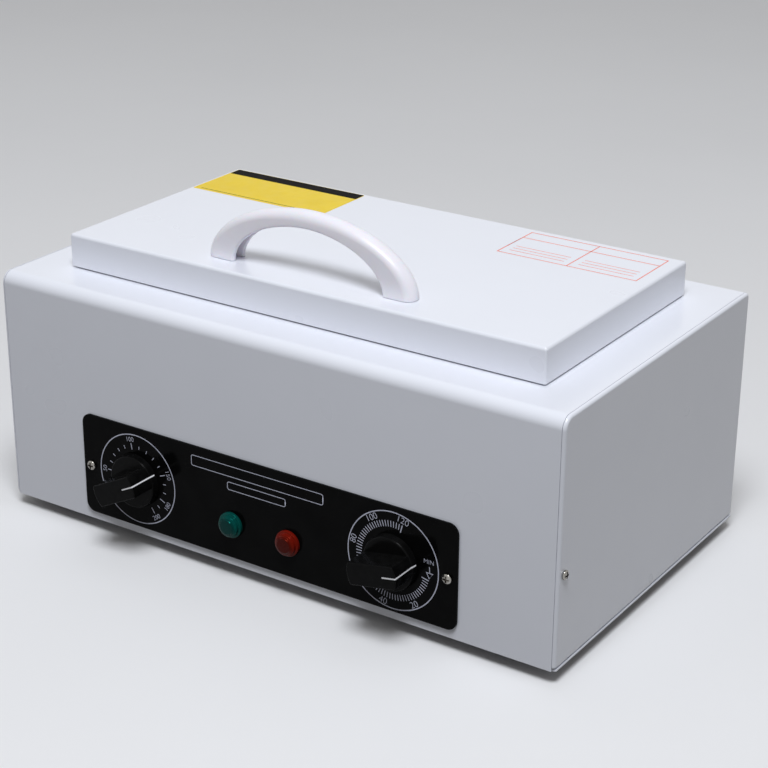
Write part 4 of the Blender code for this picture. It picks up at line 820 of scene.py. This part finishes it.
def pointer_line():
    """The white line that lies along the bar's front, down its end and down the skirt."""
    width = 0.8 * mm
    corners = [(7 * mm, grip_high), (grip_radius, grip_high), (grip_radius, skirt_tall),
               (skirt_radius - 0.64 * mm, skirt_tall), (skirt_radius - 0.12 * mm, 1.2 * mm)]
    path = eased(corners, (grip_edge, 0, 0), 5)
    loop = beside(path, 0.05 * mm) + beside(path, -0.3 * mm)[::-1]
    return slab("pointer_line", loop, 'XZ', -width / 2, width / 2)


def placed(mesh, place, pointer):
    """Turn a knob piece to its pointer angle and stand it on the panel."""
    turn = Matrix.Rotation(-pointer, 4, 'Y') @ Matrix.Rotation(quarter, 4, 'X')
    mesh.transform(Matrix.Translation(place) @ turn)
    return mesh


knob_gap = 0.8 * mm
for name, side, pointer in (("temperature", -1, 26.5), ("timer", 1, 10.5)):
    place = Vector((side * dial.x, panel_front - knob_gap, dial.z))
    turned_knob = placed(knob(name + "_knob_moulded"), place, math.radians(pointer))
    settle(turned_knob, black_plastic, name + "_control", "black_plastic", name + "_knob")
    line = placed(pointer_line(), place, math.radians(pointer))
    line.name = name + "_pointer_line"
    settle(line, white_line, name + "_control", None)
    low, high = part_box(name + "_shaft")
    shaft = rod(shaft_radius, (place.x, low.y, dial.z), (place.x, high.y, dial.z), 48)
    shaft.name = name + "_shaft_turned"
    settle(edged(shaft, 0.3 * mm, 2), steel, name + "_control", "stainless", name + "_shaft")


# Pilot lamps
# A green and a red lens of clear tinted plastic, stepped in rings, with facets inside. Their colour is
# painted paler towards the rim, a painted glow of light through the plastic. Each clips over a lamp barrel
# that passes through the panel.
lens_rim, lens_body, lens_bore = in_mm(7.6, 6.4, 3.7)
# Each lens has a dark tint, a paler colour painted on its rim as a glow of light, and a tint for its gloss.
for colour, side, dark, pale, glint in (
        ("green", -1, (0.000, 0.018, 0.017), (0.001, 0.056, 0.048), (0.05, 1.0, 0.85, 1.0)),
        ("red", 1, (0.050, 0.002, 0.001), (0.15, 0.007, 0.003), (1.0, 0.12, 0.05, 1.0))):
    lens = new_finish(colour + "_lens_plastic", pale, 0.06, Specular_IOR_Level=0.2, Specular_Tint=glint)
    tree = lens.node_tree
    place = add_node(tree, "ShaderNodeTexCoord")["Object"]
    from_axis = add_node(tree, "ShaderNodeMapping", Vector=place,
                         Location=(-side * lamp.x / lens_rim, 0, -lamp.z / lens_rim),
                         Scale=(1 / lens_rim, 0, 1 / lens_rim))[0]
    reach = add_node(tree, "ShaderNodeVectorMath", from_axis, operation='LENGTH')["Value"]
    # Painted light: the base colour runs from the dark tint in the middle to a paler glow of light at the
    # rim.
    tint(lens, reckon(tree, 'MULTIPLY_ADD', grain(lens, 0.003, 3.0), 0.2, reach), dark, pale, 0.64, 0.9)
    vary_gloss(lens, (0.002, 3.0), 0.04, 0.09)
    facets = add_node(tree, "ShaderNodeTexVoronoi", Vector=place, Scale=1 / (1.1 * mm))["Distance"]
    emboss(lens, facets, 0.00012, 0.5)
    profile = eased([(0, 5.2 * mm), (4.3 * mm, 5.05 * mm), (4.6 * mm, 4.6 * mm), (5.3 * mm, 4.5 * mm),
                     (5.6 * mm, 4.1 * mm), (lens_body, 3.9 * mm), (lens_body, 2.0 * mm), (lens_rim, 1.9 * mm),
                     (lens_rim, 0), (lens_bore, 0), (lens_bore, 2.6 * mm), (0, 2.6 * mm)],
                    in_mm(0.25, 0.12, 0.2, 0.12, 0.35, 0.3, 0.45, 0.15, 0, 0.4), 4)
    lens_mesh = turned("lamp_lens_" + colour + "_moulded", profile, 96)
    lens_mesh.transform(Matrix.Translation((side * lamp.x, panel_front - clear, lamp.z))
                        @ Matrix.Rotation(quarter, 4, 'X'))
    settle(lens_mesh, lens, "cabinet", "lens_" + colour, "lamp_lens_" + colour)


# Lid
# The lid is a shallow painted steel pan turned over, with tight folded edges. A liner, a wool
# board and a seal fill it from below and it turns on two hinges at the back.
lid_low, lid_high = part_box("lid_shell")
lid_outline = pan_outline(lid_low, lid_high, [1.4 * mm] * 4, 'XY', lid_high.z, -1)
path = eased([(6 * mm, 0), (0, 0), (0, lid_high.z - lid_low.z)], [1.8 * mm], 10)
lid_mesh = pressed("lid_sheet", lid_outline, path, -sheet)
handle_screw = middle_of("handle_screw_right")
handle_y, handle_bore = handle_screw.y, 2.3 * mm
for side in (-1, 1):
    x = side * handle_screw.x
    hole = rod(handle_bore, (x, handle_y, lid_high.z - 4 * mm), (x, handle_y, lid_high.z + 4 * mm))
    lid_mesh = cut(lid_mesh, hole)
settle(lid_mesh, white_paint, "lid", "white_paint", "lid_shell")


# Handle
# A moulded white arch in the shape of a half oval. Its inner side is open as a deep channel, its
# outer edges are well rounded, and two screws from inside the lid hold its feet.
white_plastic = new_finish("white_moulded_plastic", (0.90, 0.885, 0.95), 0.36, Subsurface_Weight=0.15,
                           Subsurface_Scale=0.004)
tint(white_plastic, (0.012, 4.0), (0.89, 0.875, 0.94), (0.905, 0.89, 0.955))
vary_gloss(white_plastic, (0.005, 4.0), 0.28, 0.42)
emboss(white_plastic, (0.0007, 2.0), 0.00003, 0.35)

handle_low, handle_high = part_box("lid_handle")
outer_size = (handle_high.x - handle_low.x, handle_high.z - handle_low.z)
inner_size, groove_size = (99 * mm, 27.7 * mm), (117 * mm, 33 * mm)
oval_power = 1.92


def arch_point(size, turn):
    """A point of a soft oval of a given span and height that stands on the lid."""
    across, up = math.cos(turn), math.sin(turn)
    across = math.copysign(abs(across) ** (2 / oval_power), across)
    return Vector((across * size[0] / 2, 0, size[1] * abs(up) ** (2 / oval_power)))


def arch_section(turn, foot):
    """A section of the handle at a turn: a channel that opens to the inner side."""
    outer, inner, groove = [arch_point(size, turn) for size in (outer_size, inner_size, groove_size)]
    inward = (inner - outer).normalized()
    thick = (inner - outer).length
    deep = (groove - outer).dot(inward)
    half, slot_half = (handle_high.y - handle_low.y) / 2, 3.2 * mm
    corners = [(0, 0), (0, half), (thick, half), (thick, slot_half), (deep, slot_half), (deep, -slot_half),
               (thick, -slot_half), (thick, -half), (0, -half), (0, 0)]
    bends = in_mm(5.6, 1.3, 0.6, 1.2, 1.2, 0.6, 1.3, 5.6)
    section = eased(corners, bends, 6)[:-1]
    return [outer + foot + inward * p.x + Vector((0, p.y, 0)) for p in section]


foot = Vector((0, handle_y, handle_low.z))
stations = 120
rings = [arch_section(math.pi * step / stations, foot) for step in range(stations + 1)]
handle_mesh = skinned("moulded_handle", rings, angle=40)
for side in (-1, 1):
    x = side * handle_screw.x
    hole = rod(handle_bore, (x, handle_y, foot.z - 2 * mm), (x, handle_y, foot.z + 7 * mm))
    handle_mesh = cut(handle_mesh, hole)
settle(handle_mesh, white_plastic, "lid", "white_plastic", "lid_handle")
screw = pan_screw(head=3.6 * mm, height=2 * mm, shank=2 * mm, length=8 * mm, drive=0.32)
seats = [(side * handle_screw.x, handle_y, lid_high.z - sheet - clear) for side in (-1, 1)]
handle_screws = copies("handle_screws_zinc", screw, seats, facing_down, zinc)
settle(handle_screws, zinc, "lid", "zinc_steel", "handle_screw_left", "handle_screw_right")


# Hinges
# Two small butt hinges of zinc plated steel. One leaf is riveted on the cabinet top, the other
# on the back of the lid, and a pin with a round head runs through their rolled knuckles.
hinge_y, hinge_z = middle_of("hinge_pin_right").yz
knuckle, pin_radius, leaf_wall, leaf_edge = in_mm(3, 1.2, 1.2, 0.25)
leaf_face, leaf_start, tongue_end = in_mm(2.91, 3.3, 4.5)
leaf_half, inner_half = in_mm(20, 7.5)


def hinge_leaf(name, span, plate, knuckles, tongue):
    """A leaf with tongues that end in rolled knuckles; plate and tongue are loops in YZ."""
    first, last = span
    made = edged(slab(name, plate, 'YZ', first, last), leaf_edge, 2)
    for start, end in knuckles:
        made = cut(made, slab("tongue", tongue, 'YZ', start, end), 'UNION')
        made = cut(made, rod(knuckle, (start, hinge_y, hinge_z), (end, hinge_y, hinge_z), 48), 'UNION')
    beyond = 60 * mm
    return cut(made, rod(pin_radius + clear, (first - beyond, hinge_y, hinge_z),
                         (last + beyond, hinge_y, hinge_z), 32))


def rect(low_y, low_z, high_y, high_z):
    """The corners of a rectangle about the pin's axis."""
    corners = ((low_y, low_z), (high_y, low_z), (high_y, high_z), (low_y, high_z))
    return [(hinge_y + y, hinge_z + z) for y, z in corners]


rivet = turned("rivet", eased([(0, 0.85 * mm), (1.4 * mm, 0.75 * mm), (2.2 * mm, 0), (0, 0)],
                              (1.5 * mm, 0.2 * mm), 6), 40)
rivet_sunk = 0.02 * mm
pin_long = 2 * leaf_half + clear
pin_profile = eased([(0, 0.9 * mm), (1.3 * mm, 0.9 * mm), (2.1 * mm, 0.4 * mm), (2.1 * mm, 0),
                     (pin_radius, 0), (pin_radius, -pin_long), (0, -pin_long)],
                    in_mm(0.4, 0.3, 0.1, 0, 0.2), 4)
for side, where in ((-1, "left"), (1, "right")):
    middle = side * 98 * mm
    span = (middle - leaf_half, middle + leaf_half)
    inner = (middle - inner_half, middle + inner_half)
    outer = [(span[0], inner[0] - clear), (inner[1] + clear, span[1])]
    leaf = hinge_leaf("hinge_" + where + "_cabinet", span,
                      rect(leaf_start, -leaf_face, 16.3 * mm, leaf_wall - leaf_face), outer,
                      rect(0, -leaf_face, tongue_end, leaf_wall - leaf_face))
    settle(leaf, zinc, "cabinet", "zinc_steel", "hinge_leaf_fixed_" + where)
    leaf = hinge_leaf("hinge_" + where + "_lid", span,
                      rect(-leaf_face, leaf_start, leaf_wall - leaf_face, 15.3 * mm), [inner],
                      rect(-leaf_face, 0, leaf_wall - leaf_face, tongue_end))
    settle(leaf, zinc, "lid", "zinc_steel", "hinge_leaf_lid_" + where)
    leaf_top = leaf_wall - leaf_face - rivet_sunk
    for body, turn, spread_x, up_y, up_z in (("cabinet", unturned, 15 * mm, 10.75 * mm, leaf_top),
                                             ("lid", (-quarter, 0.0, 0.0), 9 * mm, leaf_top, 10.4 * mm)):
        spots = [(middle + shift, hinge_y + up_y, hinge_z + up_z) for shift in (-spread_x, spread_x)]
        rivets = copies("rivets_" + where + "_" + body, rivet.copy(), spots, turn, zinc)
        settle(rivets, zinc, body, "zinc_steel")
    pin = turned("hinge_pin_" + where + "_turned", pin_profile, 48)
    pin.transform(Matrix.Translation((middle + side * (leaf_half + clear), hinge_y, hinge_z))
                  @ Matrix.Rotation(side * quarter, 4, 'Y'))
    settle(pin, steel, "lid", "stainless", "hinge_pin_" + where)


# Plain labels on the lid
# Two prints on the lid: on the left an adhesive yellow vinyl label with a black band along its
# rear edge, and on the right a fine red frame in two cells with ruled lines.
yellow_vinyl = new_finish("yellow_vinyl", (0.88, 0.64, 0.03), 0.34, Specular_IOR_Level=0.1)
tint(yellow_vinyl, (0.02, 4.0), (0.86, 0.62, 0.026), (0.90, 0.66, 0.034))
vary_gloss(yellow_vinyl, (0.006, 4.0), 0.28, 0.42)
emboss(yellow_vinyl, (0.004, 2.0), 0.00002, 0.4)
black_ink = new_finish("black_label_ink", (0.010, 0.009, 0.009), 0.5, Specular_IOR_Level=0.01)
tint(black_ink, (0.01, 4.0), (0.008, 0.007, 0.007), (0.013, 0.012, 0.011))
red_ink = new_finish("red_label_ink", (0.86, 0.18, 0.10), 0.45, Specular_IOR_Level=0.1)
tint(red_ink, (0.004, 4.0), (0.82, 0.15, 0.09), (0.89, 0.22, 0.13))


def flat_print(meshes, lift, name, finish):
    """Lay flat prints on the lid, their upper faces a little above it."""
    made = merged(name, meshes)
    made.transform(Matrix.Translation((0, 0, lid_high.z + lift)))
    settle(made, finish, "lid", None)


def field(low_x, low_y, high_x, high_y, corner, wall):
    """A flat field under the level 0."""
    loop = round_rect((low_x * mm, low_y * mm), (high_x * mm, high_y * mm), corner * mm)
    return slab("field", loop, 'XY', -wall, 0)


def rule(start_x, start_y, end_x, end_y, width):
    """A straight line of ink between two points."""
    return stroke([(start_x * mm, start_y * mm), (end_x * mm, end_y * mm)], width * mm)


flat_print([field(-154.6, 40.75, -58, 87.25, 1.0, 0.14 * mm)], 0.1 * mm, "yellow_label", yellow_vinyl)
flat_print([field(-154.3, 77.75, -58.3, 86.95, 0.8, 0.04 * mm), rule(-150, 43.2, -62, 43.2, 0.5)], 0.125 * mm,
           "black_label_band", black_ink)
left, right, near, far, middle, upper = 61.5, 148.5, 44.25, 83.75, 105.6, 73.25
frame_line, ruled_line = 0.6, 0.4
frame_loop = [(x * mm, y * mm) for x, y in ((left, near), (right, near), (right, far), (left, far))]
strokes = [stroke(frame_loop, frame_line * mm, True), rule(middle, near, middle, far, frame_line),
           rule(left, upper, right, upper, frame_line)]
for start, end in ((66, 101), (110.1, 144)):
    strokes += [rule(start, y, end, y, ruled_line) for y in (50, 54, 58)]
flat_print(strokes, 0.05 * mm, "red_ruled_frame", red_ink)


# Lid liner, wool and seal
# A stainless pan closes the lid from below over a board of mineral wool. A frame of white
# silicone, moulded with round edges, is bonded to it and lies on the rim of the tub.
brushed = new_finish("brushed_stainless", (0.6, 0.6, 0.61), 0.28, 1.0)
tint(brushed, (0.02, 4.0, (1, 22, 22)), (0.53, 0.535, 0.545), (0.65, 0.65, 0.655))
vary_gloss(brushed, (0.012, 5.0, (1, 30, 30)), 0.2, 0.38)
emboss(brushed, (0.01, 3.0, (1, 40, 40)), 0.00001, 0.4)
steel_wall = 0.8 * mm
liner_low, liner_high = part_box("lid_liner")
outline = pan_outline(liner_low, liner_high, [2.4 * mm] * 4, 'XY', liner_low.z)
path = eased([(6 * mm, 0), (0, 0), (0, liner_high.z - liner_low.z)], [1.5 * mm], 8)
settle(pressed("lid_liner_sheet", outline, path, -steel_wall), brushed, "lid", "stainless", "lid_liner")

silicone = new_finish("white_silicone", (0.72, 0.72, 0.69), 0.55, Subsurface_Weight=0.1,
                      Subsurface_Scale=0.003)
tint(silicone, (0.01, 4.0), (0.68, 0.68, 0.65), (0.74, 0.74, 0.71))
emboss(silicone, (0.0012, 3.0), 0.00004, 0.5)


seal_low, seal_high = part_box("lid_seal")
outline = pan_outline(seal_low, seal_high, [21 * mm] * 4, 'XY', seal_low.z)
wide, tall = 7 * mm, seal_high.z - seal_low.z
section = eased([(wide / 2, 0), (0, 0), (0, tall), (wide, tall), (wide, 0), (wide / 2, 0)],
                [1.1 * mm, 0.5 * mm] * 2, 5)
seal = skinned("lid_seal_moulded", [outline(point.x, point.y) for point in section[:-1]], closed=True)
settle(seal, silicone, "lid", "silicone", "lid_seal")

wool = new_finish("mineral_wool_board", (0.42, 0.38, 0.26), 0.95)
tint(wool, (0.006, 8.0, (1, 1, 4)), (0.30, 0.27, 0.18), (0.52, 0.47, 0.33))
emboss(wool, (0.002, 8.0, (1, 1, 5)), 0.0008, 0.9)


def finished(finish, *names):
    """Give solids of the frame, which stay as they are, a finish."""
    for name in names:
        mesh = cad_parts[name].data
        mesh.materials.clear()
        mesh.materials.append(finish)


finished(wool, "lid_wool", "chamber_wool")


# Chamber tub
# One deep drawn stainless tub with round floor edges hangs by its flat rim in the folded sheet.
# Its jacket of wool stands in a zinc plated shield.
def drawn_tub(name, node, rim, corner, bends, steps):
    """A drawn steel tub with a flat rim, in the box of the solid that it stands for."""
    low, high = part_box(node)
    rise = high.z - low.z - steel_wall
    outline = pan_outline((low.x + rim, low.y + rim), (high.x - rim, high.y - rim), [corner] * 4, 'XY', low.z)
    path = eased([(20 * mm, 0), (0, 0), (0, rise), (-rim, rise)], bends, steps)
    return pressed(name, outline, path, -steel_wall)


tub = drawn_tub("chamber_tub_drawn", "chamber_tub", tub_rim, tub_corner, (8 * mm, 1.0 * mm), 10)
settle(tub, brushed, "cabinet", "stainless", "chamber_tub")
finished(zinc, "heat_shield")


# Tubular heater and its straps
# A steel sheathed heater in three bends lies under the tub. Two straps press it up and an over
# temperature cut-out is clipped under the shield.
tube_tree, given, out = new_tree("tube_along_path", Float=("Radius",), Int=("Sides",), Material=("Finish",))
route = add_node(tube_tree, "GeometryNodeMeshToCurve", Mesh=given["Geometry"])[0]
section = add_node(tube_tree, "GeometryNodeCurvePrimitiveCircle", Resolution=given["Sides"],
                   Radius=given["Radius"], mode='RADIUS')[0]
tube = add_node(tube_tree, "GeometryNodeCurveToMesh", Curve=route, Profile_Curve=section, Fill_Caps=True)[0]
end_tree(tube_tree, tube, given["Finish"], out)


def tube_along(name, points, radius, finish, sides=24):
    """A round tube or wire along points, with closed ends."""
    line = bpy.data.meshes.new(name)
    line.from_pydata([tuple(p) for p in points], [(n, n + 1) for n in range(len(points) - 1)], [])
    made = grown(line, tube_tree, Radius=radius, Sides=sides, Finish=finish)
    shape = bmesh.new()
    shape.from_mesh(made)
    bmesh.ops.remove_doubles(shape, verts=shape.verts, dist=0.001 * mm)
    return smooth_mesh(name, shape, 50)


heater_low, heater_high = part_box("heating_element")
heater_z, heater_radius, heater_bend, straight = middle_of("heating_element").z, 3.2 * mm, 15 * mm, 115.5 * mm
rows = [heater_low.y + heater_radius + number * 2 * heater_bend for number in range(4)]
tail = heater_high.x + 0.5 * mm
points = [(tail, rows[0], heater_z)]
for number, near in enumerate(rows[:-1]):
    side = -1 if number % 2 == 0 else 1
    bend = arc((side * straight, near + heater_bend), heater_bend, -quarter, side * math.pi, 24)
    points += [(x, y, heater_z) for x, y in bend]
points.append((tail, rows[-1], heater_z))
heater = tube_along("heater_tube", points, heater_radius, steel, 32)
settle(heater, steel, "cabinet", "stainless", "heating_element")
finished(steel, "heater_strap_left", "heater_strap_right")
finished(black_plastic, "thermal_cutout")


# Thermostat, timer and lamp barrels
# The thermostat and the spring timer are moulded black bodies behind the front sheet. Bulb and
# capillary are of brass and carry the tub's heat to the thermostat.
finished(black_plastic, "thermostat_body", "timer_body", "lamp_body_green", "lamp_body_red")
brass = new_finish("brass", (0.66, 0.47, 0.2), 0.3, 1.0)
tint(brass, (0.006, 4.0), (0.55, 0.38, 0.15), (0.7, 0.52, 0.24))
vary_gloss(brass, (0.003, 4.0), 0.22, 0.42)


def through(corners, steps=8):
    """Points of a smooth curve through a few corners."""
    places = [Vector(corner) for corner in [corners[0]] + list(corners) + [corners[-1]]]
    points = []
    for a, b, c, d in zip(places, places[1:], places[2:], places[3:]):
        for step in range(steps):
            t = step / steps
            points.append(0.5 * (2 * b + (c - a) * t + (2 * a - 5 * b + 4 * c - d) * t ** 2
                                 + (3 * b - a - 3 * c + d) * t ** 3))
    return points + [places[-1]]


bulb_low, bulb_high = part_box("thermostat_bulb")
bulb_y, bulb_z = middle_of("thermostat_bulb").yz
radius = (bulb_high.z - bulb_low.z) / 2
bulb = edged(rod(radius, (bulb_low.x, bulb_y, bulb_z), (bulb_high.x, bulb_y, bulb_z), 40), 1 * mm, 4)
bulb.name = "brass_bulb"
settle(bulb, brass, "cabinet", "brass", "thermostat_bulb")
touch, capillary_radius = in_mm(0.5, 0.9)
shield_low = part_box("heat_shield")[0]
exit_x, rear = shield_low.x - touch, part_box("thermostat_body")[1].y + touch
corners = [(exit_x, bulb_y, bulb_z), (exit_x - 2.5 * mm, bulb_y, bulb_z),
           (exit_x - 5 * mm, bulb_y - 10 * mm, shield_low.z), (exit_x, bulb_y - 40 * mm, dial.z),
           (-dial.x, rear + 20 * mm, dial.z), (-dial.x, rear, dial.z)]
points = [(bulb_low.x - touch, bulb_y, bulb_z)] + through(corners)
capillary = tube_along("brass_capillary", points, capillary_radius, brass, 16)
settle(capillary, brass, "cabinet", "brass", "thermostat_capillary")


# Mains inlet
# A moulded black inlet for a mains lead sits in the back sheet with three brass blades in its
# recess. Two chrome screws hold its flange.
inlet_low, inlet_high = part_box("power_inlet")
seat_y, mouth_y = wrap_high.y + clear, inlet_high.y


def inlet_slab(name, width, height, corner, start, end):
    """A slab with round corners about the inlet's middle, between two places along Y."""
    loop = round_rect((inlet_x - width / 2, inlet_z - height / 2),
                      (inlet_x + width / 2, inlet_z + height / 2), corner)
    return slab(name, loop, 'XZ', start, end)


flange_wide, flange_tall = inlet_high.x - inlet_low.x, inlet_high.z - inlet_low.z
inlet = edged(inlet_slab("inlet", flange_wide, flange_tall, 7 * mm, seat_y, mouth_y), 0.6 * mm, 4)
barrel = inlet_slab("barrel", barrel_wide, barrel_tall, 2.5 * mm, inlet_low.y, seat_y + 1 * mm)
inlet = cut(inlet, edged(barrel, 0.3 * mm, 2), 'UNION')
inlet = cut(inlet, inlet_slab("lip", 27.6 * mm, 20 * mm, 4.4 * mm, mouth_y - 0.5 * mm, mouth_y + 1.5 * mm))
inlet = cut(inlet, inlet_slab("recess", 24 * mm, 16.4 * mm, 3 * mm, mouth_y - 17 * mm, mouth_y + 3 * mm))
for side in (-1, 1):
    x = inlet_x + side * inlet_screw_x
    inlet = cut(inlet, rod(1.8 * mm, (x, seat_y - 3 * mm, inlet_z), (x, mouth_y + 3 * mm, inlet_z)))
blades = []
for name in ("earth", "live", "neutral"):
    low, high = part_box("inlet_blade_" + name)
    gap = Vector((clear, 0, clear))
    hole = block(low - gap - Vector((0, 2 * mm, 0)), Vector((high.x, mouth_y - 15 * mm, high.z)) + gap)
    inlet = cut(inlet, hole)
    blades.append(edged(block(low, high), 0.45 * mm, 3))
inlet.name = "moulded_inlet"
settle(inlet, black_plastic, "cabinet", "black_plastic", "power_inlet")
settle(merged("brass_blades", blades), brass, "cabinet", "brass", "inlet_blade_earth", "inlet_blade_live",
       "inlet_blade_neutral")
screw = pan_screw(head=2.8 * mm, height=1.6 * mm, shank=1.5 * mm, length=9.2 * mm)
seats = [(inlet_x + side * inlet_screw_x, mouth_y + clear, inlet_z) for side in (-1, 1)]
inlet_screws = copies("inlet_screws_chrome", screw, seats, (-quarter, 0.0, 0.0), chrome)
settle(inlet_screws, chrome, "cabinet", "chrome_screw", "inlet_screw_left", "inlet_screw_right")


# Terminal block and wires
# A glazed ceramic block on the base plate joins the mains wires to the heater. Each of its poles
# has a brass clamp screw sunk in the top.
ceramic = new_finish("glazed_ceramic", (0.78, 0.75, 0.66), 0.3, Coat_Weight=0.5, Coat_Roughness=0.1)
tint(ceramic, (0.008, 5.0), (0.70, 0.67, 0.58), (0.80, 0.77, 0.69))
emboss(ceramic, (0.003, 3.0), 0.00005, 0.4)
low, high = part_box("terminal_block")
ceramic_block = edged(block(low, high), 1.5 * mm, 4)
middle, pole_pitch = middle_of("terminal_block"), 8.4 * mm
poles = [(middle.x + side * pole_pitch, middle.y, high.z - 3 * mm) for side in (-1, 0, 1)]
for x, y, z in poles:
    ceramic_block = cut(ceramic_block, rod(2.6 * mm, (x, y, z), (x, y, high.z + 2 * mm), 40))
for side in (-1, 1):
    x = middle.x + side * pole_pitch / 2
    ceramic_block = cut(ceramic_block, block((x - 0.5 * mm, low.y - 1 * mm, high.z - 2 * mm),
                                             (x + 0.5 * mm, high.y + 1 * mm, high.z + 1 * mm)))
ceramic_block.name = "ceramic_block"
settle(ceramic_block, ceramic, "cabinet", "ceramic", "terminal_block")
screw = pan_screw(head=2.2 * mm, height=1.2 * mm, shank=1.2 * mm, length=1.5 * mm, drive=0.32)
settle(copies("brass_clamps", screw, poles, unturned, brass), brass, "cabinet", "brass")

wire_gap, straight_end, wire_radius = in_mm(0.6, 14, 1.3)
entry_z, rear, front = low.z + 8 * mm, high.y + wire_gap, low.y - wire_gap
wire_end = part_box("inlet_blade_live")[0].y - wire_gap
routes = {}
for name, side in (("neutral", -1), ("live", 1)):
    blade, pole = middle_of("inlet_blade_" + name), middle.x + side * pole_pitch
    routes[name] = [(blade.x, wire_end, blade.z), (blade.x, wire_end - straight_end, blade.z),
                    (pole, (wire_end + rear) / 2, (blade.z + entry_z) / 2),
                    (pole, rear + straight_end, entry_z), (pole, rear, entry_z)]
tip, pole = tail + wire_gap, middle.x + 11.3 * mm
routes["heater"] = [(tip, rows[0], heater_z), (tip + 4 * mm, rows[0], heater_z - 1.3 * mm),
                    (tip + 6 * mm, rows[0], heater_z - 8 * mm),
                    (tip + 4 * mm, rows[0] + 16 * mm, entry_z + 16 * mm),
                    (pole, front - straight_end, entry_z), (pole, front, entry_z)]
for name, tone, slot in (("neutral", (0.03, 0.10, 0.36), "wire_blue"),
                         ("live", (0.17, 0.07, 0.03), "wire_brown"),
                         ("heater", (0.7, 0.7, 0.66), "wire_white")):
    sleeve = new_finish(name + "_wire_sleeve", tone, 0.45)
    tint(sleeve, (0.004, 4.0), tuple(0.85 * part for part in tone), tone)
    emboss(sleeve, (0.001, 2.0), 0.00003, 0.4)
    wire = tube_along(name + "_wire", through(routes[name]), wire_radius, sleeve, 20)
    settle(wire, sleeve, "cabinet", slot, "wire_" + name)


# Instrument tray
# A shallow stainless tray with a turned out rim and two rows of slots in its floor stands in the
# tub and lifts straight out.
tray = drawn_tub("tray_sheet", "instrument_tray", 3 * mm, 12 * mm, (5 * mm, 0.8 * mm), 8)
tray_middle = middle_of("instrument_tray")
tray_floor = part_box("instrument_tray")[0].z
tray = grown(tray, slot_tree, Columns=2, Rows=7, Column_Pitch=46 * mm, Row_Pitch=29 * mm, Length=34 * mm,
             Width=4 * mm, Depth=6 * mm, Centre=(0.0, tray_middle.y, tray_floor), Turn=(0.0, 0.0, quarter),
             Finish=brushed)
settle(tray, brushed, "tray", "stainless", "instrument_tray")
